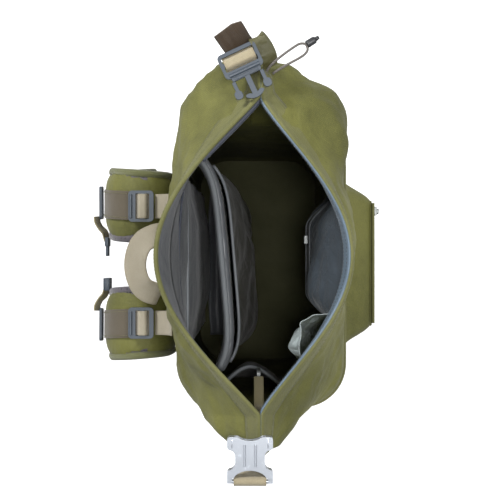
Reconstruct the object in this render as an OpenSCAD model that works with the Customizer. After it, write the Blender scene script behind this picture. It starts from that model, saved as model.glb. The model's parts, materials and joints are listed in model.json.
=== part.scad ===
// Roll-top day pack, standing on its base with the roll-top unrolled and its mouth open.
// Frame: +Z up, -Y is the front of the pack, +Y is the wearer's side, +X is the wearer's right.
// The origin is on the underside of the base, on the line between the two side seams.

/* [Body] */
// Width of the body across the wearer's back
body_w = 300; // [290:1:304]
// Depth from the side seams back to the back panel
back_d = 76; // [75:0.5:77]
// Depth from the side seams forward to the front panel
front_d = 100; // [98:0.5:102]
// Radius of the body's upright corners
corner_r = 45; // [42:1:48]
// Height of the body, up to the seam where the collar starts
body_h = 430; // [428:1:432]
// Thickness of shell fabric and lining together
wall_t = 2.4; // [2:0.1:2.6]

/* [Roll-top collar] */
// Height of the open rim at its middle
rim_h = 580; // [575:1:585]
// Half the flat width of the rim, from its middle to a tip
rim_half = 185; // [183:1:187]
// How far the tips hang below the middle of the rim
rim_droop = 22; // [18:1:26]
// Depth of the open mouth behind the line of its tips
mouth_back = 97; // [94:1:99]
// Depth of the open mouth in front of the line of its tips
mouth_front = 84; // [82:1:86]

/* [Pockets] */
// How far the front pocket stands out
front_pocket_d = 38; // [30:1:42]
// Height of the top of the side pockets
side_pocket_h = 175; // [160:1:190]

/* [Straps] */
// Width of the shoulder pads at the shoulder
pad_w = 74; // [68:1:76]
// Thickness of the shoulder pads
pad_t = 12; // [10:0.5:13]
// Width of the harness webbing
web_w = 25; // [22:1:26]
// Width of the webbing of the roll-top buckle
roll_web_w = 30; // [28:1:31]

/* [Hidden] */

olive = "#77774a";
lining_grey = "#4a4e52";
sleeve_grey = "#696d70";
binding_blue = "#73889a";
mesh_grey = "#3a383a";
tan_web = "#bfb7a7";
brown_web = "#37270c";
buckle_grey = "#5f6a74";
buckle_silver = "#b8bcc4";

gap = 0.3;                  // between pieces that touch in the sewn pack
half_w = body_w / 2;
seam_z = body_h + 0.2;      // where the collar starts
tip_y = -10;                // line of the rim's two tips
tip_gap = 2.6;              // half the thickness of the closed tips
mouth_mid = 10;             // the open part of the mouth is centred here along X
mouth_half = 152;           // and is this long to each side
web_t = 1.8;
arc_len = PI * corner_r / 2;

// ---------------------------------------------------------------- curves

function smooth(x) = let(c = max(0, min(1, x))) c * c * (3 - 2 * c);
// Rises from 0 to 1 over the share e of the way, and falls again at the far end
function plateau(x, e) = smooth(min(x, 1 - x) / e);
function wrap(v) = v - floor(v);
function unit(a) = a / norm(a);

// A point on a quarter of the body's outline, from the side seam (u 0) to the middle (u 1)
function quarter(u, depth) =
    let(side = depth - corner_r, flat = half_w - corner_r, s = u * (side + arc_len + flat))
    s < side ? [half_w, s]
    : s < side + arc_len
      ? let(a = (s - side) / corner_r * 180 / PI)
        [half_w - corner_r + corner_r * cos(a), side + corner_r * sin(a)]
      : [flat - (s - side - arc_len), depth];

// Share of the quarter that v has reached, v going once round the pack anticlockwise from +X
function share(v) = let(q = wrap(v) * 4)
    q < 1 ? q : q < 2 ? 2 - q : q < 3 ? q - 2 : 4 - q;
function right_side(v) = let(w = wrap(v)) w < 0.25 || w > 0.75;
function at_back(v) = wrap(v) < 0.5;

function body_xy(v) =
    let(q = quarter(share(v), at_back(v) ? back_d : front_d))
    [right_side(v) ? q[0] : -q[0], at_back(v) ? q[1] : -q[1]];

function rim_x(v) = (right_side(v) ? 1 : -1) * rim_half * (1 - share(v));

// The open mouth is a lens; beyond its ends the two layers of the rim lie together
function rim_xy(v) =
    let(x = rim_x(v),
        open = abs(x - mouth_mid) < mouth_half ? cos(90 * (x - mouth_mid) / mouth_half) : 0,
        least = min(tip_gap, 0.2 + share(v) * 60),
        d = at_back(v) ? mouth_back * pow(open, 1.1) : mouth_front * pow(open, 1.25))
    [x, tip_y + (at_back(v) ? 1 : -1) * max(least, d)];

function rim_z(v) = rim_h - rim_droop * pow(abs(rim_x(v)) / rim_half, 2.2);

function rise(v, z) = z <= seam_z ? 0 : pow(min(1, (z - seam_z) / (rim_z(v) - seam_z)), 1.15);

// Above the seam the cloth stands out at both ends, and comes back in at the rim
function flare(v, s) =
    let(q = share(v), g = 16 * s * s * (1 - s) * (1 - s), side = at_back(v) ? 1 : -1,
        reach = at_back(v) ? 0.55 : 0.64)
    right_side(v)
    ? [34 * g * smooth((reach - q) / 0.4),
       side * (at_back(v) ? 20 : 28) * g * smooth(q / 0.06) * smooth((reach - q) / 0.3)]
    : [-8 * g * smooth((0.45 - q) / 0.3),
       side * 21 * g * smooth(q / 0.05) * smooth((0.45 - q) / 0.35)];

// Outer surface of the pack at v round the outline and height z
function skin_xy(v, z) =
    let(s = rise(v, z)) body_xy(v) * (1 - s) + rim_xy(v) * s + flare(v, s);

// The same, moved off millimetres into the pack
function wall(v, z, off) =
    let(t = unit(skin_xy(v + 0.004, z) - skin_xy(v - 0.004, z)),
        p = skin_xy(v, z) - [t[1], -t[0]] * off)
    [p[0], p[1], z];

// The collar's halves stay on their own side of the tips' line
function collar_wall(back, v, z, off) =
    let(p = wall(v, z, off), y = tip_y * rise(v, z))
    [p[0], back ? max(p[1], y + 0.15) : min(p[1], y - 0.15), z];

// Catmull-Rom curve through hand-placed points, n steps to a span
function spline_point(p, i, t) =
    let(a = p[max(i - 1, 0)], b = p[i], c = p[i + 1], d = p[min(i + 2, len(p) - 1)])
    0.5 * (2 * b + (c - a) * t + (2 * a - 5 * b + 4 * c - d) * t * t
           + (3 * b - a - 3 * c + d) * t * t * t);
function spline(p, n) =
    [for (i = [0:len(p) - 2], k = [0:n - 1]) spline_point(p, i, k / n), p[len(p) - 1]];

function tangent(p, i) = unit(p[min(i + 1, len(p) - 1)] - p[max(i - 1, 0)]);

// ---------------------------------------------------------------- builders

// A closed solid between two grids of points that have the same rows and columns
module between(a, b) {
    rows = len(a);
    cols = len(a[0]);
    r = floor((rows - 1) / 2);
    c = floor((cols - 1) / 2);
    facing = cross(a[r][c + 1] - a[r][c], a[r + 1][c] - a[r][c]) * (a[r][c] - b[r][c]);
    points = concat([for (row = a) each row], [for (row = b) each row]);
    other = rows * cols;
    quads = concat(
        [for (i = [0:rows - 2], j = [0:cols - 2])
            [i * cols + j, (i + 1) * cols + j, (i + 1) * cols + j + 1, i * cols + j + 1]],
        [for (i = [0:rows - 2], j = [0:cols - 2])
            [other + i * cols + j, other + i * cols + j + 1,
             other + (i + 1) * cols + j + 1, other + (i + 1) * cols + j]],
        [for (j = [0:cols - 2]) [j, j + 1, other + j + 1, other + j]],
        [for (j = [0:cols - 2])
            let(k = (rows - 1) * cols + j) [k + 1, k, other + k, other + k + 1]],
        [for (i = [0:rows - 2])
            [(i + 1) * cols, i * cols, other + i * cols, other + (i + 1) * cols]],
        [for (i = [0:rows - 2])
            let(k = i * cols + cols - 1) [k, k + cols, other + k + cols, other + k]]);
    triangles = [for (q = quads) each [[q[0], q[1], q[2]], [q[0], q[2], q[3]]]];
    polyhedron(points, facing > 0 ? triangles : [for (t = triangles) [t[2], t[1], t[0]]], 10);
}

// A strip of webbing or a pad: along a path, with a width direction at each point,
// edge being the share of the thickness left at its two long edges
module ribbon(path, across, width, thick, edge = 1, columns = 1) {
    n = len(path) - 1;
    function side(k, sign) =
        let(t = tangent(path, k),
            w = unit(across[k] - t * (across[k] * t)),
            normal = cross(t, w))
        [for (c = [0:columns])
            let(f = c / columns - 0.5,
                h = thick / 2 * (edge + (1 - edge) * sqrt(max(0, 1 - 4 * f * f))))
            path[k] + w * f * width[k] + normal * h * sign];
    between([for (k = [0:n]) side(k, 1)], [for (k = [0:n]) side(k, -1)]);
}

module flat_ribbon(path, across, width, thick = web_t) {
    ribbon(path, [for (p = path) across], [for (p = path) width], thick);
}

// A panel of the body's wall between two places round it and two heights
module panel(v0, v1, z0, z1, nv, nz, off0 = 0, off1 = wall_t) {
    function grid(off) = [for (i = [0:nv]) [for (j = [0:nz])
        wall(v0 + (v1 - v0) * i / nv, z0 + (z1 - z0) * j / nz, off)]];
    between(grid(off0), grid(off1));
}

module rounded(w, h, r) {
    square([w - 2 * r, h], center = true);
    square([w, h - 2 * r], center = true);
    for (x = [-1, 1], y = [-1, 1])
        translate([x * (w / 2 - r), y * (h / 2 - r)]) circle(r, $fn = 32);
}

module mirrored(left) {
    if (left) mirror([1, 0, 0]) children();
    else children();
}

// ---------------------------------------------------------------- shell

module base_panel() color(olive)
    linear_extrude(4) polygon([for (i = [0:71]) body_xy(i / 72)]);

// v of the ends of the flat back and flat front
back_edge = 0.25 * (back_d - corner_r + arc_len) / (back_d - corner_r + arc_len + half_w - corner_r);
front_edge = 0.25 * (front_d - corner_r + arc_len) / (front_d - corner_r + arc_len + half_w - corner_r);
seam = 0.0002;

module front_panel() color(olive)
    panel(0.5 + front_edge + seam, 1 - front_edge - seam, 4.2, body_h, 12, 4);

module back_panel() color(olive)
    panel(back_edge + seam, 0.5 - back_edge - seam, 4.2, body_h, 12, 4);

module side_panel(left) color(olive) mirrored(left)
    panel(-front_edge + seam, back_edge - seam, 4.2, body_h, 18, 4);

module collar(back) {
    nv = 36;
    nz = 8;
    v0 = back ? 0 : 0.5;
    function grid(off) = [for (i = [0:nv]) [for (j = [0:nz])
        let(v = v0 + 0.0001 + 0.4998 * i / nv)
        collar_wall(back, v, seam_z + (rim_z(v) - seam_z) * j / nz, off)]];
    color(olive) between(grid(0), grid(wall_t));
}

// The stiff tape that is bound inside the rim
module stiffener(back) {
    n = 26;
    v0 = (back ? 0 : 0.5) + 0.055;
    function grid(off) = [for (i = [0:n]) let(v = v0 + 0.39 * i / n)
        [for (drop = [16, 2]) wall(v, rim_z(v) - drop, off)]];
    color(binding_blue) between(grid(wall_t + gap), grid(wall_t + gap + 1.2));
}

// ---------------------------------------------------------------- inside

// Padded below the collar's seam, and a single layer of cloth above it
module back_lining() {
    nv = 12;
    nz = 14;
    z0 = 14;
    z1 = 545;
    function layer(face) = [for (i = [0:nv]) [for (j = [0:nz])
        let(z = z0 + (z1 - z0) * j / nz,
            swell = 9 * plateau(i / nv, 0.3) * plateau(min(1, (z - z0) / 430), 0.2))
        wall(0.14 + 0.22 * i / nv, z, 3.2 + 4.8 * smooth((490 - z) / 60) + face * (1.5 + swell))]];
    color(sleeve_grey) between(layer(0), layer(1));
}

module frame_sheet() color("#222222")
    panel(0.145, 0.355, 14, 420, 6, 2, 2.8, 4.3);

module frame_stay() color("silver")
    translate([-10, back_d - 7.6, 20]) cube([20, 3, 395]);

// A panel that hangs across the pack, nearer the front at its left end, with its two ends
// curved back and its lower part bellied forward
module hanging_panel(half, y_mid, slope, belly, thick, z0, z1) {
    n = 18;
    m = 8;
    function face(dy) = [for (i = [0:n]) let(x = -half + 2 * half * i / n, end = pow(abs(x) / half, 6))
        [for (j = [0:m]) let(z = z0 + (z1 - z0) * j / m)
            [x, y_mid + slope * x + 16 * end - belly * (1 - end) * smooth((z1 - z) / 150) + dy, z]]];
    between(face(-thick / 2), face(thick / 2));
}

module laptop_sleeve() color(sleeve_grey) hanging_panel(116, 30, 0.09, 0, 8, 16, 412);
module document_pocket() color(lining_grey) hanging_panel(110, 17, 0.085, 22, 2, 30, 392);

module inner_pocket() {
    nv = 14;
    nz = 14;
    // Its belly hangs a third of the way up
    function hang(f) = f < 0.35 ? smooth(f / 0.35) : cos(90 * (f - 0.35) / 0.65);
    function grid(t) = [for (i = [0:nv]) [for (j = [0:nz])
        wall(0.67 + 0.17 * i / nv, 335 + 205 * j / nz,
             3.4 + t + 34 * plateau(i / nv, 0.35) * hang(j / nz))]];
    color(lining_grey) between(grid(0), grid(1.6));
}

module inner_zip_slider() color(buckle_silver)
    translate([26, -59.4, 425]) {
        cube([9, 4, 6], center = true);
        translate([0, 0, -11]) cube([5, 1.4, 17], center = true);
    }

// Open-topped pocket at the left end of the main compartment
module stash_pocket() {
    nv = 12;
    nz = 5;
    function grid(t) = [for (i = [0:nv]) [for (j = [0:nz])
        wall(0.435 + 0.13 * i / nv, 220 + 180 * j / nz,
             3 + t + 34 * plateau(i / nv, 0.5) * smooth(j / nz * 1.3))]];
    color(lining_grey) between(grid(0), grid(1.4));
}

leash_end = [-116, -9, 452];    // the key hook swings here
module key_strap() color(tan_web)
    flat_ribbon(spline([[-150, -9, 486], [-138, -9, 478], [-124, -9, 464], leash_end + [0, 0, 4]], 3),
                [0, 1, 0], 10, 1.6);

module key_hook() color(buckle_grey)
    translate(leash_end + [0, 0, -14]) rotate([90, 0, 0]) {
        linear_extrude(4, center = true) difference() {
            rounded(14, 30, 5);
            rounded(8, 22, 3.5);
            translate([5, 2]) square([8, 13], center = true);
        }
    }

// Pivots just below the hook's gap and closes it
gate_pivot = leash_end + [5.6, 0, -19];
module key_gate() color(buckle_silver)
    translate(gate_pivot + [-1.2, -1.5, 1.6]) cube([2.4, 3, 11]);

// ---------------------------------------------------------------- back

module back_cushion(v0, v1, z0, z1, depth) {
    nv = 8;
    nz = 8;
    function grid(k) = [for (i = [0:nv]) [for (j = [0:nz])
        wall(v0 + (v1 - v0) * i / nv, z0 + (z1 - z0) * j / nz,
             k == 0 ? -gap - 0.1 : -3 - depth * plateau(i / nv, 0.35) * plateau(j / nz, 0.12))]];
    color(mesh_grey) between(grid(0), grid(1));
}

// A loop of webbing that lies flat at its middle and is sewn flat to the pack at its ends
module grab_handle() {
    half_loop = [[30, 80.2, 452], [30, 85, 463], [30, 95, 471], [25, 107, 474], [15, 114, 474]];
    curve = spline(concat(half_loop, [[0, 117, 473]],
                          [for (k = [4:-1:0]) [-half_loop[k][0], half_loop[k][1], half_loop[k][2]]]), 3);
    n = len(curve) - 1;
    // The width runs along X at the sewn ends and turns level towards the middle
    across = [for (k = [0:n]) let(t = tangent(curve, k), level = cross([0, 0.1, 1], t))
        unit([1, 0, 0] * (1 - smooth(min(k, n - k) / 8)) * (k < n / 2 ? 1 : -1)
             + level * smooth(min(k, n - k) / 8) * (k < n / 2 ? -1 : -1))];
    color(tan_web) ribbon(curve, across, [for (k = [0:n]) web_w], web_t);
}

// ---------------------------------------------------------------- shoulder straps

pad_route = [[60, 83.2, 396], [60, 88, 425], [60, 102, 443], [61, 123, 447], [63, 142, 432],
             [66, 151, 400], [70, 152.5, 350], [78, 146, 285], [86, 134, 228], [92, 123, 186]];
pad_path = spline(pad_route, 3);
function pad_width(k) =
    let(f = k / (len(pad_path) - 1)) f < 0.5 ? pad_w - 4 * (0.5 - f) : pad_w - 40 * (f - 0.5);

module shoulder_pad(left) color(mesh_grey) mirrored(left)
    ribbon(pad_path, [for (p = pad_path) [1, 0, 0]],
           [for (k = [0:len(pad_path) - 1]) pad_width(k)], pad_t, 0.45, 6);

// Outward normal of the pad at point k of its path
function pad_out(k) = unit(cross([1, 0, 0], tangent(pad_path, k)));

// A strip of facing sewn down the outer face of the pad
module strap_band(left) {
    first = 7;
    last = len(pad_path) - 3;
    route = [for (k = [first:last]) pad_path[k] + pad_out(k) * (pad_t / 2 + gap + 0.7)];
    color("#5a5142") mirrored(left) flat_ribbon(route, [1, 0, 0], 30, 1.4);
}

// The frame of a ladder lock, its top face up, the webbing running along X
lock_w = web_w + 7;
module ladder_lock(width = lock_w, length = 26) {
    linear_extrude(3.5) difference() {
        rounded(length, width, 4);
        translate([-6, 0]) rounded(5, width - 6, 1);
        translate([3, 0]) rounded(5, width - 6, 1);
    }
    translate([length / 2 - 2.5, 0, 3.4]) rotate([90, 0, 0])
        cylinder(r = 1.8, h = width - 8, center = true, $fn = 32);
}

// Webbing that comes from below, passes over the lock's middle bar and goes down again
lock_route = [[12.5, -3.2], [6.4, -2.6], [3.5, -0.6], [3, 2.5], [1.5, 4.9], [-1.5, 5.2],
              [-4.5, 4.9], [-6, 2.5], [-6.3, -0.6], [-9, -2.6], [-13, -3.2]];
module lock_webbing(width = web_w) {
    flat_ribbon([for (p = lock_route) [p[0], 0, p[1]]], [0, 1, 0], width, 1.6);
}

lifter_at = [60, 112, 461];
module at_lifter(left) mirrored(left) translate(lifter_at) rotate([0, 0, 90]) children();
module lifter_buckle(left) color(buckle_grey) at_lifter(left) ladder_lock();
module lifter_loop(left) color(tan_web) at_lifter(left) lock_webbing();

// Webbing from the collar's foot to the ladder lock on the pad
module lifter_webbing(left) color(tan_web) mirrored(left)
    flat_ribbon(spline([[60, 79.6, 474], [60, 82, 467], [60, 88, 461.5], [60, 97.6, 458]], 3),
                [1, 0, 0], web_w);

// A tri-glide that slides on the band, with a stub of sternum strap
slider_k = 16;
slider_at = pad_path[slider_k] + pad_out(slider_k) * (pad_t / 2 + 4.2);
module at_slider(left) mirrored(left) translate(slider_at)
    multmatrix(let(t = tangent(pad_path, slider_k), w = unit([1, 0, 0] - t * t[0]), n = cross(t, w) * -1)
        [[w[0], t[0], n[0], 0], [w[1], t[1], n[1], 0], [w[2], t[2], n[2], 0], [0, 0, 0, 1]])
    children();

module sternum_slider(left) color(buckle_grey) at_slider(left)
    linear_extrude(3) difference() {
        rounded(36, 24, 4);
        translate([0, -6]) rounded(28, 5, 1);
        translate([0, 6]) rounded(28, 5, 1);
    }

// Short straps with the two halves of the small chest buckle
module sternum_web(left) color(tan_web) mirrored(left)
    flat_ribbon(spline([slider_at + [-15, 6.4, 0], slider_at + [-21, 6, -0.5], slider_at + [-27, 3, -2],
                        slider_at + [-33, -1.4, -5], slider_at + [-40, -3.6, -8]], 3), [0, 0.3, 1], 15, 1.4);

module sternum_plug() color(buckle_grey) translate(slider_at + [-43, -4, -9]) {
    cube([10, 4.4, 17], center = true);
    for (z = [-5.5, 0, 5.5]) translate([-10, 0, z]) cube([12, 2.6, 2.4], center = true);
}

module sternum_socket() color(buckle_grey) mirrored(true) translate(slider_at + [-44, -4, -9])
    difference() {
        cube([14, 7, 20], center = true);
        translate([-4, 0, 0]) cube([14, 4, 16], center = true);
    }

adjuster_at = [93, 119.5, 170];
lean = -14;                 // the strap's foot leans in towards the pack
module at_adjuster(left) mirrored(left) translate(adjuster_at) rotate([lean, 0, 0])
    rotate([0, -90, -90]) children();
module adjuster(left) color(buckle_grey) at_adjuster(left) ladder_lock();
module adjuster_loop(left) color(tan_web) at_adjuster(left) lock_webbing();

// Lower webbing from the body's foot up to the adjuster
module strap_webbing(left) color(tan_web) mirrored(left)
    flat_ribbon(spline([[112, 77.8, 22], [110, 80, 40], [104, 91, 80], [97, 105, 124],
                        [94, 112.2, 154]], 3), [1, -0.25, 0], web_w);

// ---------------------------------------------------------------- outside pockets

module front_pocket() {
    nv = 14;
    nz = 12;
    function grid(k) = [for (i = [0:nv]) [for (j = [0:nz])
        wall(0.64 + 0.22 * i / nv, 70 + 315 * j / nz,
             k == 0 ? -gap : -2 - front_pocket_d * plateau(i / nv, 0.16) * plateau(j / nz, 0.16))]];
    color(olive) between(grid(0), grid(1));
}

zip_z = 330;
pocket_face = -front_d - 2 - front_pocket_d;
module front_zip() color("#1c1d1a") {
    translate([-68, pocket_face - gap - 1, zip_z - 12]) cube([136, 1, 24]);
    translate([-66, pocket_face - gap - 2.4, zip_z - 2.5]) cube([132, 1.4, 5]);
}

module front_zip_slider() color(buckle_silver)
    translate([60, pocket_face - gap - 4.8, zip_z]) {
        cube([10, 3.6, 8], center = true);
        translate([0, -3.6, -10]) cube([6, 1.6, 24], center = true);
        translate([0, -2.2, 0]) cube([4, 2.4, 4], center = true);
    }

// Stretch pocket, open at the top
module side_pocket(left) {
    nv = 16;
    nz = 6;
    function grid(t) = [for (i = [0:nv]) [for (j = [0:nz])
        wall(-0.09 + 0.175 * i / nv, 8 + (side_pocket_h - 8) * j / nz,
             -0.5 - t - 26 * plateau(i / nv, 0.5) * smooth(j / nz * 1.6))]];
    color(olive) mirrored(left) between(grid(0), grid(2));
}

module compression_strap(left) color(tan_web) mirrored(left)
    panel(-0.128, 0.112, 318, 338, 18, 1, -gap, -gap - 1.6);

// ---------------------------------------------------------------- roll-top buckle

socket_at = [-176, 0, 566.4];
socket_t = 9;
bar_x = -21.5;
// The jaw faces the mouth of the pack, and the bar at the other end carries the webbing
module roll_socket() color(buckle_silver) translate(socket_at) {
    difference() {
        linear_extrude(socket_t) difference() {
            offset(r = -6, $fn = 48) offset(delta = 6) union() {
                translate([14, 0]) rounded(12, 42, 3);
                rounded(36, 27, 2);
                translate([-14, 0]) rounded(8, 42, 3);
            }
            translate([25, 0]) scale([0.6, 1]) circle(14, $fn = 64);
            translate([-20, 0]) scale([0.6, 1]) circle(15.5, $fn = 64);
        }
        translate([-4, -10, 2]) cube([30, 20, socket_t - 4]);
        translate([9, -14.5, 2]) cube([20, 29, socket_t - 4]);
    }
    for (y = [-5, 5]) translate([3, y, socket_t]) rotate([0, 90, 0])
        cylinder(r = 1.2, h = 20, center = true, $fn = 32);
    for (y = [-18.8, 18.8]) translate([bar_x + 3, y, socket_t / 2])
        cube([9, 4.4, 4.4], center = true);
    translate([bar_x, 0, socket_t / 2]) rotate([90, 0, 0])
        cylinder(r = 2, h = 38, center = true, $fn = 32);
}

// The loop that joins the socket to the collar's left tip
module roll_socket_loop() color(tan_web)
    flat_ribbon(spline([[-189.8, 0, 541], [-192.8, 0, 552], [-193.8, 0, 563], [-193.8, 0, 571],
                        [-195.4, 0, 574], [-198.2, 0, 574.6], [-200.6, 0, 572], [-200.8, 0, 566],
                        [-197, 0, 552], [-192.6, 0, 541]], 3),
                [0, 1, 0], roll_web_w);

plug_turn = 205;
plug_at = [189, 9, 568.4];
module at_plug() translate(plug_at) rotate([0, 0, plug_turn]) children();

module roll_plug() color(buckle_grey) at_plug() {
    ladder_lock(roll_web_w + 8, 24);
    linear_extrude(3.5) {
        translate([13, 0]) rounded(5, roll_web_w - 1, 1.5);
        translate([24, 0]) square([22, 5], center = true);
        // The spine ends in a curved crosspiece
        intersection() {
            translate([35, 0]) rounded(8, 18, 2);
            translate([24, 0]) difference() {
                circle(13, $fn = 64);
                circle(8.6, $fn = 64);
            }
        }
    }
}

arm_y = 14;
// A springy side arm with its barb
module plug_arm(side) color(buckle_grey) at_plug() {
    linear_extrude(3.5) {
        translate([21.2, side * arm_y]) square([11, 3.4], center = true);
        translate([28.5, side * (arm_y + 0.5)]) rounded(8, 7.5, 3);
    }
}

module roll_plug_loop() color(tan_web) at_plug() lock_webbing(roll_web_w);

// The roll-top webbing, sewn up the collar's right tip, with its free end standing out
module webbing_tail() color(brown_web)
    flat_ribbon(spline([[190.5, -4.5, 541], [192.5, -1, 547], [197.5, 4, 555], [205.5, 11, 563],
                        [212, 16, 570], [218, 21, 577]], 3),
                [-0.45, 0.89, 0.05], roll_web_w - 2, 2.2);

// Shock-cord loop at the right tip: out to the toggle and back
bungee_d = 2.4;
bungee_route = [[182, -15.5, 554], [187, -19, 556], [193, -26, 558], [199, -34, 559],
                [204, -41.5, 560], [206.6, -46.4, 560.2], [206.2, -51.4, 560.2],
                [201.6, -53.6, 560.2], [197, -51, 560], [193, -45, 559.4], [188.6, -36.5, 558.4],
                [184, -28, 557], [179.6, -21, 555]];
module tube(path, d, sides) {
    rings = [for (k = [0:len(path) - 1])
        let(t = tangent(path, k), w = unit(cross(t, [0, 0, 1])), u = cross(w, t))
        [for (s = [0:sides - 1]) path[k] + (w * cos(360 * s / sides) + u * sin(360 * s / sides)) * d / 2]];
    n = len(path);
    polyhedron([for (r = rings) each r], concat(
        [[for (s = [0:sides - 1]) s]],
        [for (k = [0:n - 2], s = [0:sides - 1]) let(e = (s + 1) % sides)
            each [[k * sides + s, (k + 1) * sides + s, (k + 1) * sides + e],
                  [k * sides + s, (k + 1) * sides + e, k * sides + e]]],
        [[for (s = [sides - 1:-1:0]) (n - 1) * sides + s]]), 10);
}
module bungee_loop() color("#8a8278") tube(spline(bungee_route, 3), bungee_d, 8);

module bungee_toggle() color("#202226")
    translate([206.9, -54.6, 560.2]) rotate([0, 0, -58]) {
        rotate([0, 90, 0]) cylinder(r = 3.6, h = 7, $fn = 32);
        translate([7, 0, 0]) rotate([0, 90, 0]) cylinder(r = 2.4, h = 4, $fn = 32);
    }

// ---------------------------------------------------------------- which piece is drawn

base_panel();
front_panel();
back_panel();
side_panel(false);  // side_panel_right
side_panel(true);  // side_panel_left
collar(false);  // collar_front
collar(true);  // collar_back
stiffener(false);  // front_stiffener
stiffener(true);  // back_stiffener
back_lining();
frame_sheet();
frame_stay();
laptop_sleeve();
document_pocket();
inner_pocket();
inner_zip_slider();
stash_pocket();
key_strap();
key_hook();
key_gate();
back_cushion(0.132, 0.234, 122, 385, 11);  // back_pad_right
back_cushion(0.266, 0.368, 122, 385, 11);  // back_pad_left
back_cushion(0.16, 0.34, 34, 112, 13);  // lumbar_pad
front_pocket();
front_zip();
front_zip_slider();
side_pocket(false);  // side_pocket_right
side_pocket(true);  // side_pocket_left
compression_strap(false);  // compression_strap_right
compression_strap(true);  // compression_strap_left
grab_handle();
shoulder_pad(false);  // shoulder_pad_right
shoulder_pad(true);  // shoulder_pad_left
strap_band(false);  // strap_band_right
strap_band(true);  // strap_band_left
lifter_webbing(false);  // lifter_webbing_right
lifter_webbing(true);  // lifter_webbing_left
lifter_buckle(false);  // lifter_buckle_right
lifter_buckle(true);  // lifter_buckle_left
lifter_loop(false);  // lifter_loop_right
lifter_loop(true);  // lifter_loop_left
sternum_slider(false);  // sternum_slider_right
sternum_slider(true);  // sternum_slider_left
union() { sternum_web(false); sternum_plug(); }
union() { sternum_web(true); sternum_socket(); }
adjuster(false);  // adjuster_right
adjuster(true);  // adjuster_left
adjuster_loop(false);  // adjuster_loop_right
adjuster_loop(true);  // adjuster_loop_left
strap_webbing(false);  // strap_webbing_right
strap_webbing(true);  // strap_webbing_left
roll_socket();
roll_socket_loop();
roll_plug();
plug_arm(1);  // plug_arm_front
plug_arm(-1);  // plug_arm_back
roll_plug_loop();
webbing_tail();
bungee_loop();
bungee_toggle();
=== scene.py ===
# %% [markdown]
# # Roll-top day pack
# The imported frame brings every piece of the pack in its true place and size, as plain solids.
# This notebook dresses that frame: cloth with weave and creases, padded panels, webbing,
# moulded buckles, zips and stitching. Each piece rides on the body of the frame it belongs to,
# so that it moves when the joint moves.

# %% Load the frame
import json
import math
import random

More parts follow.
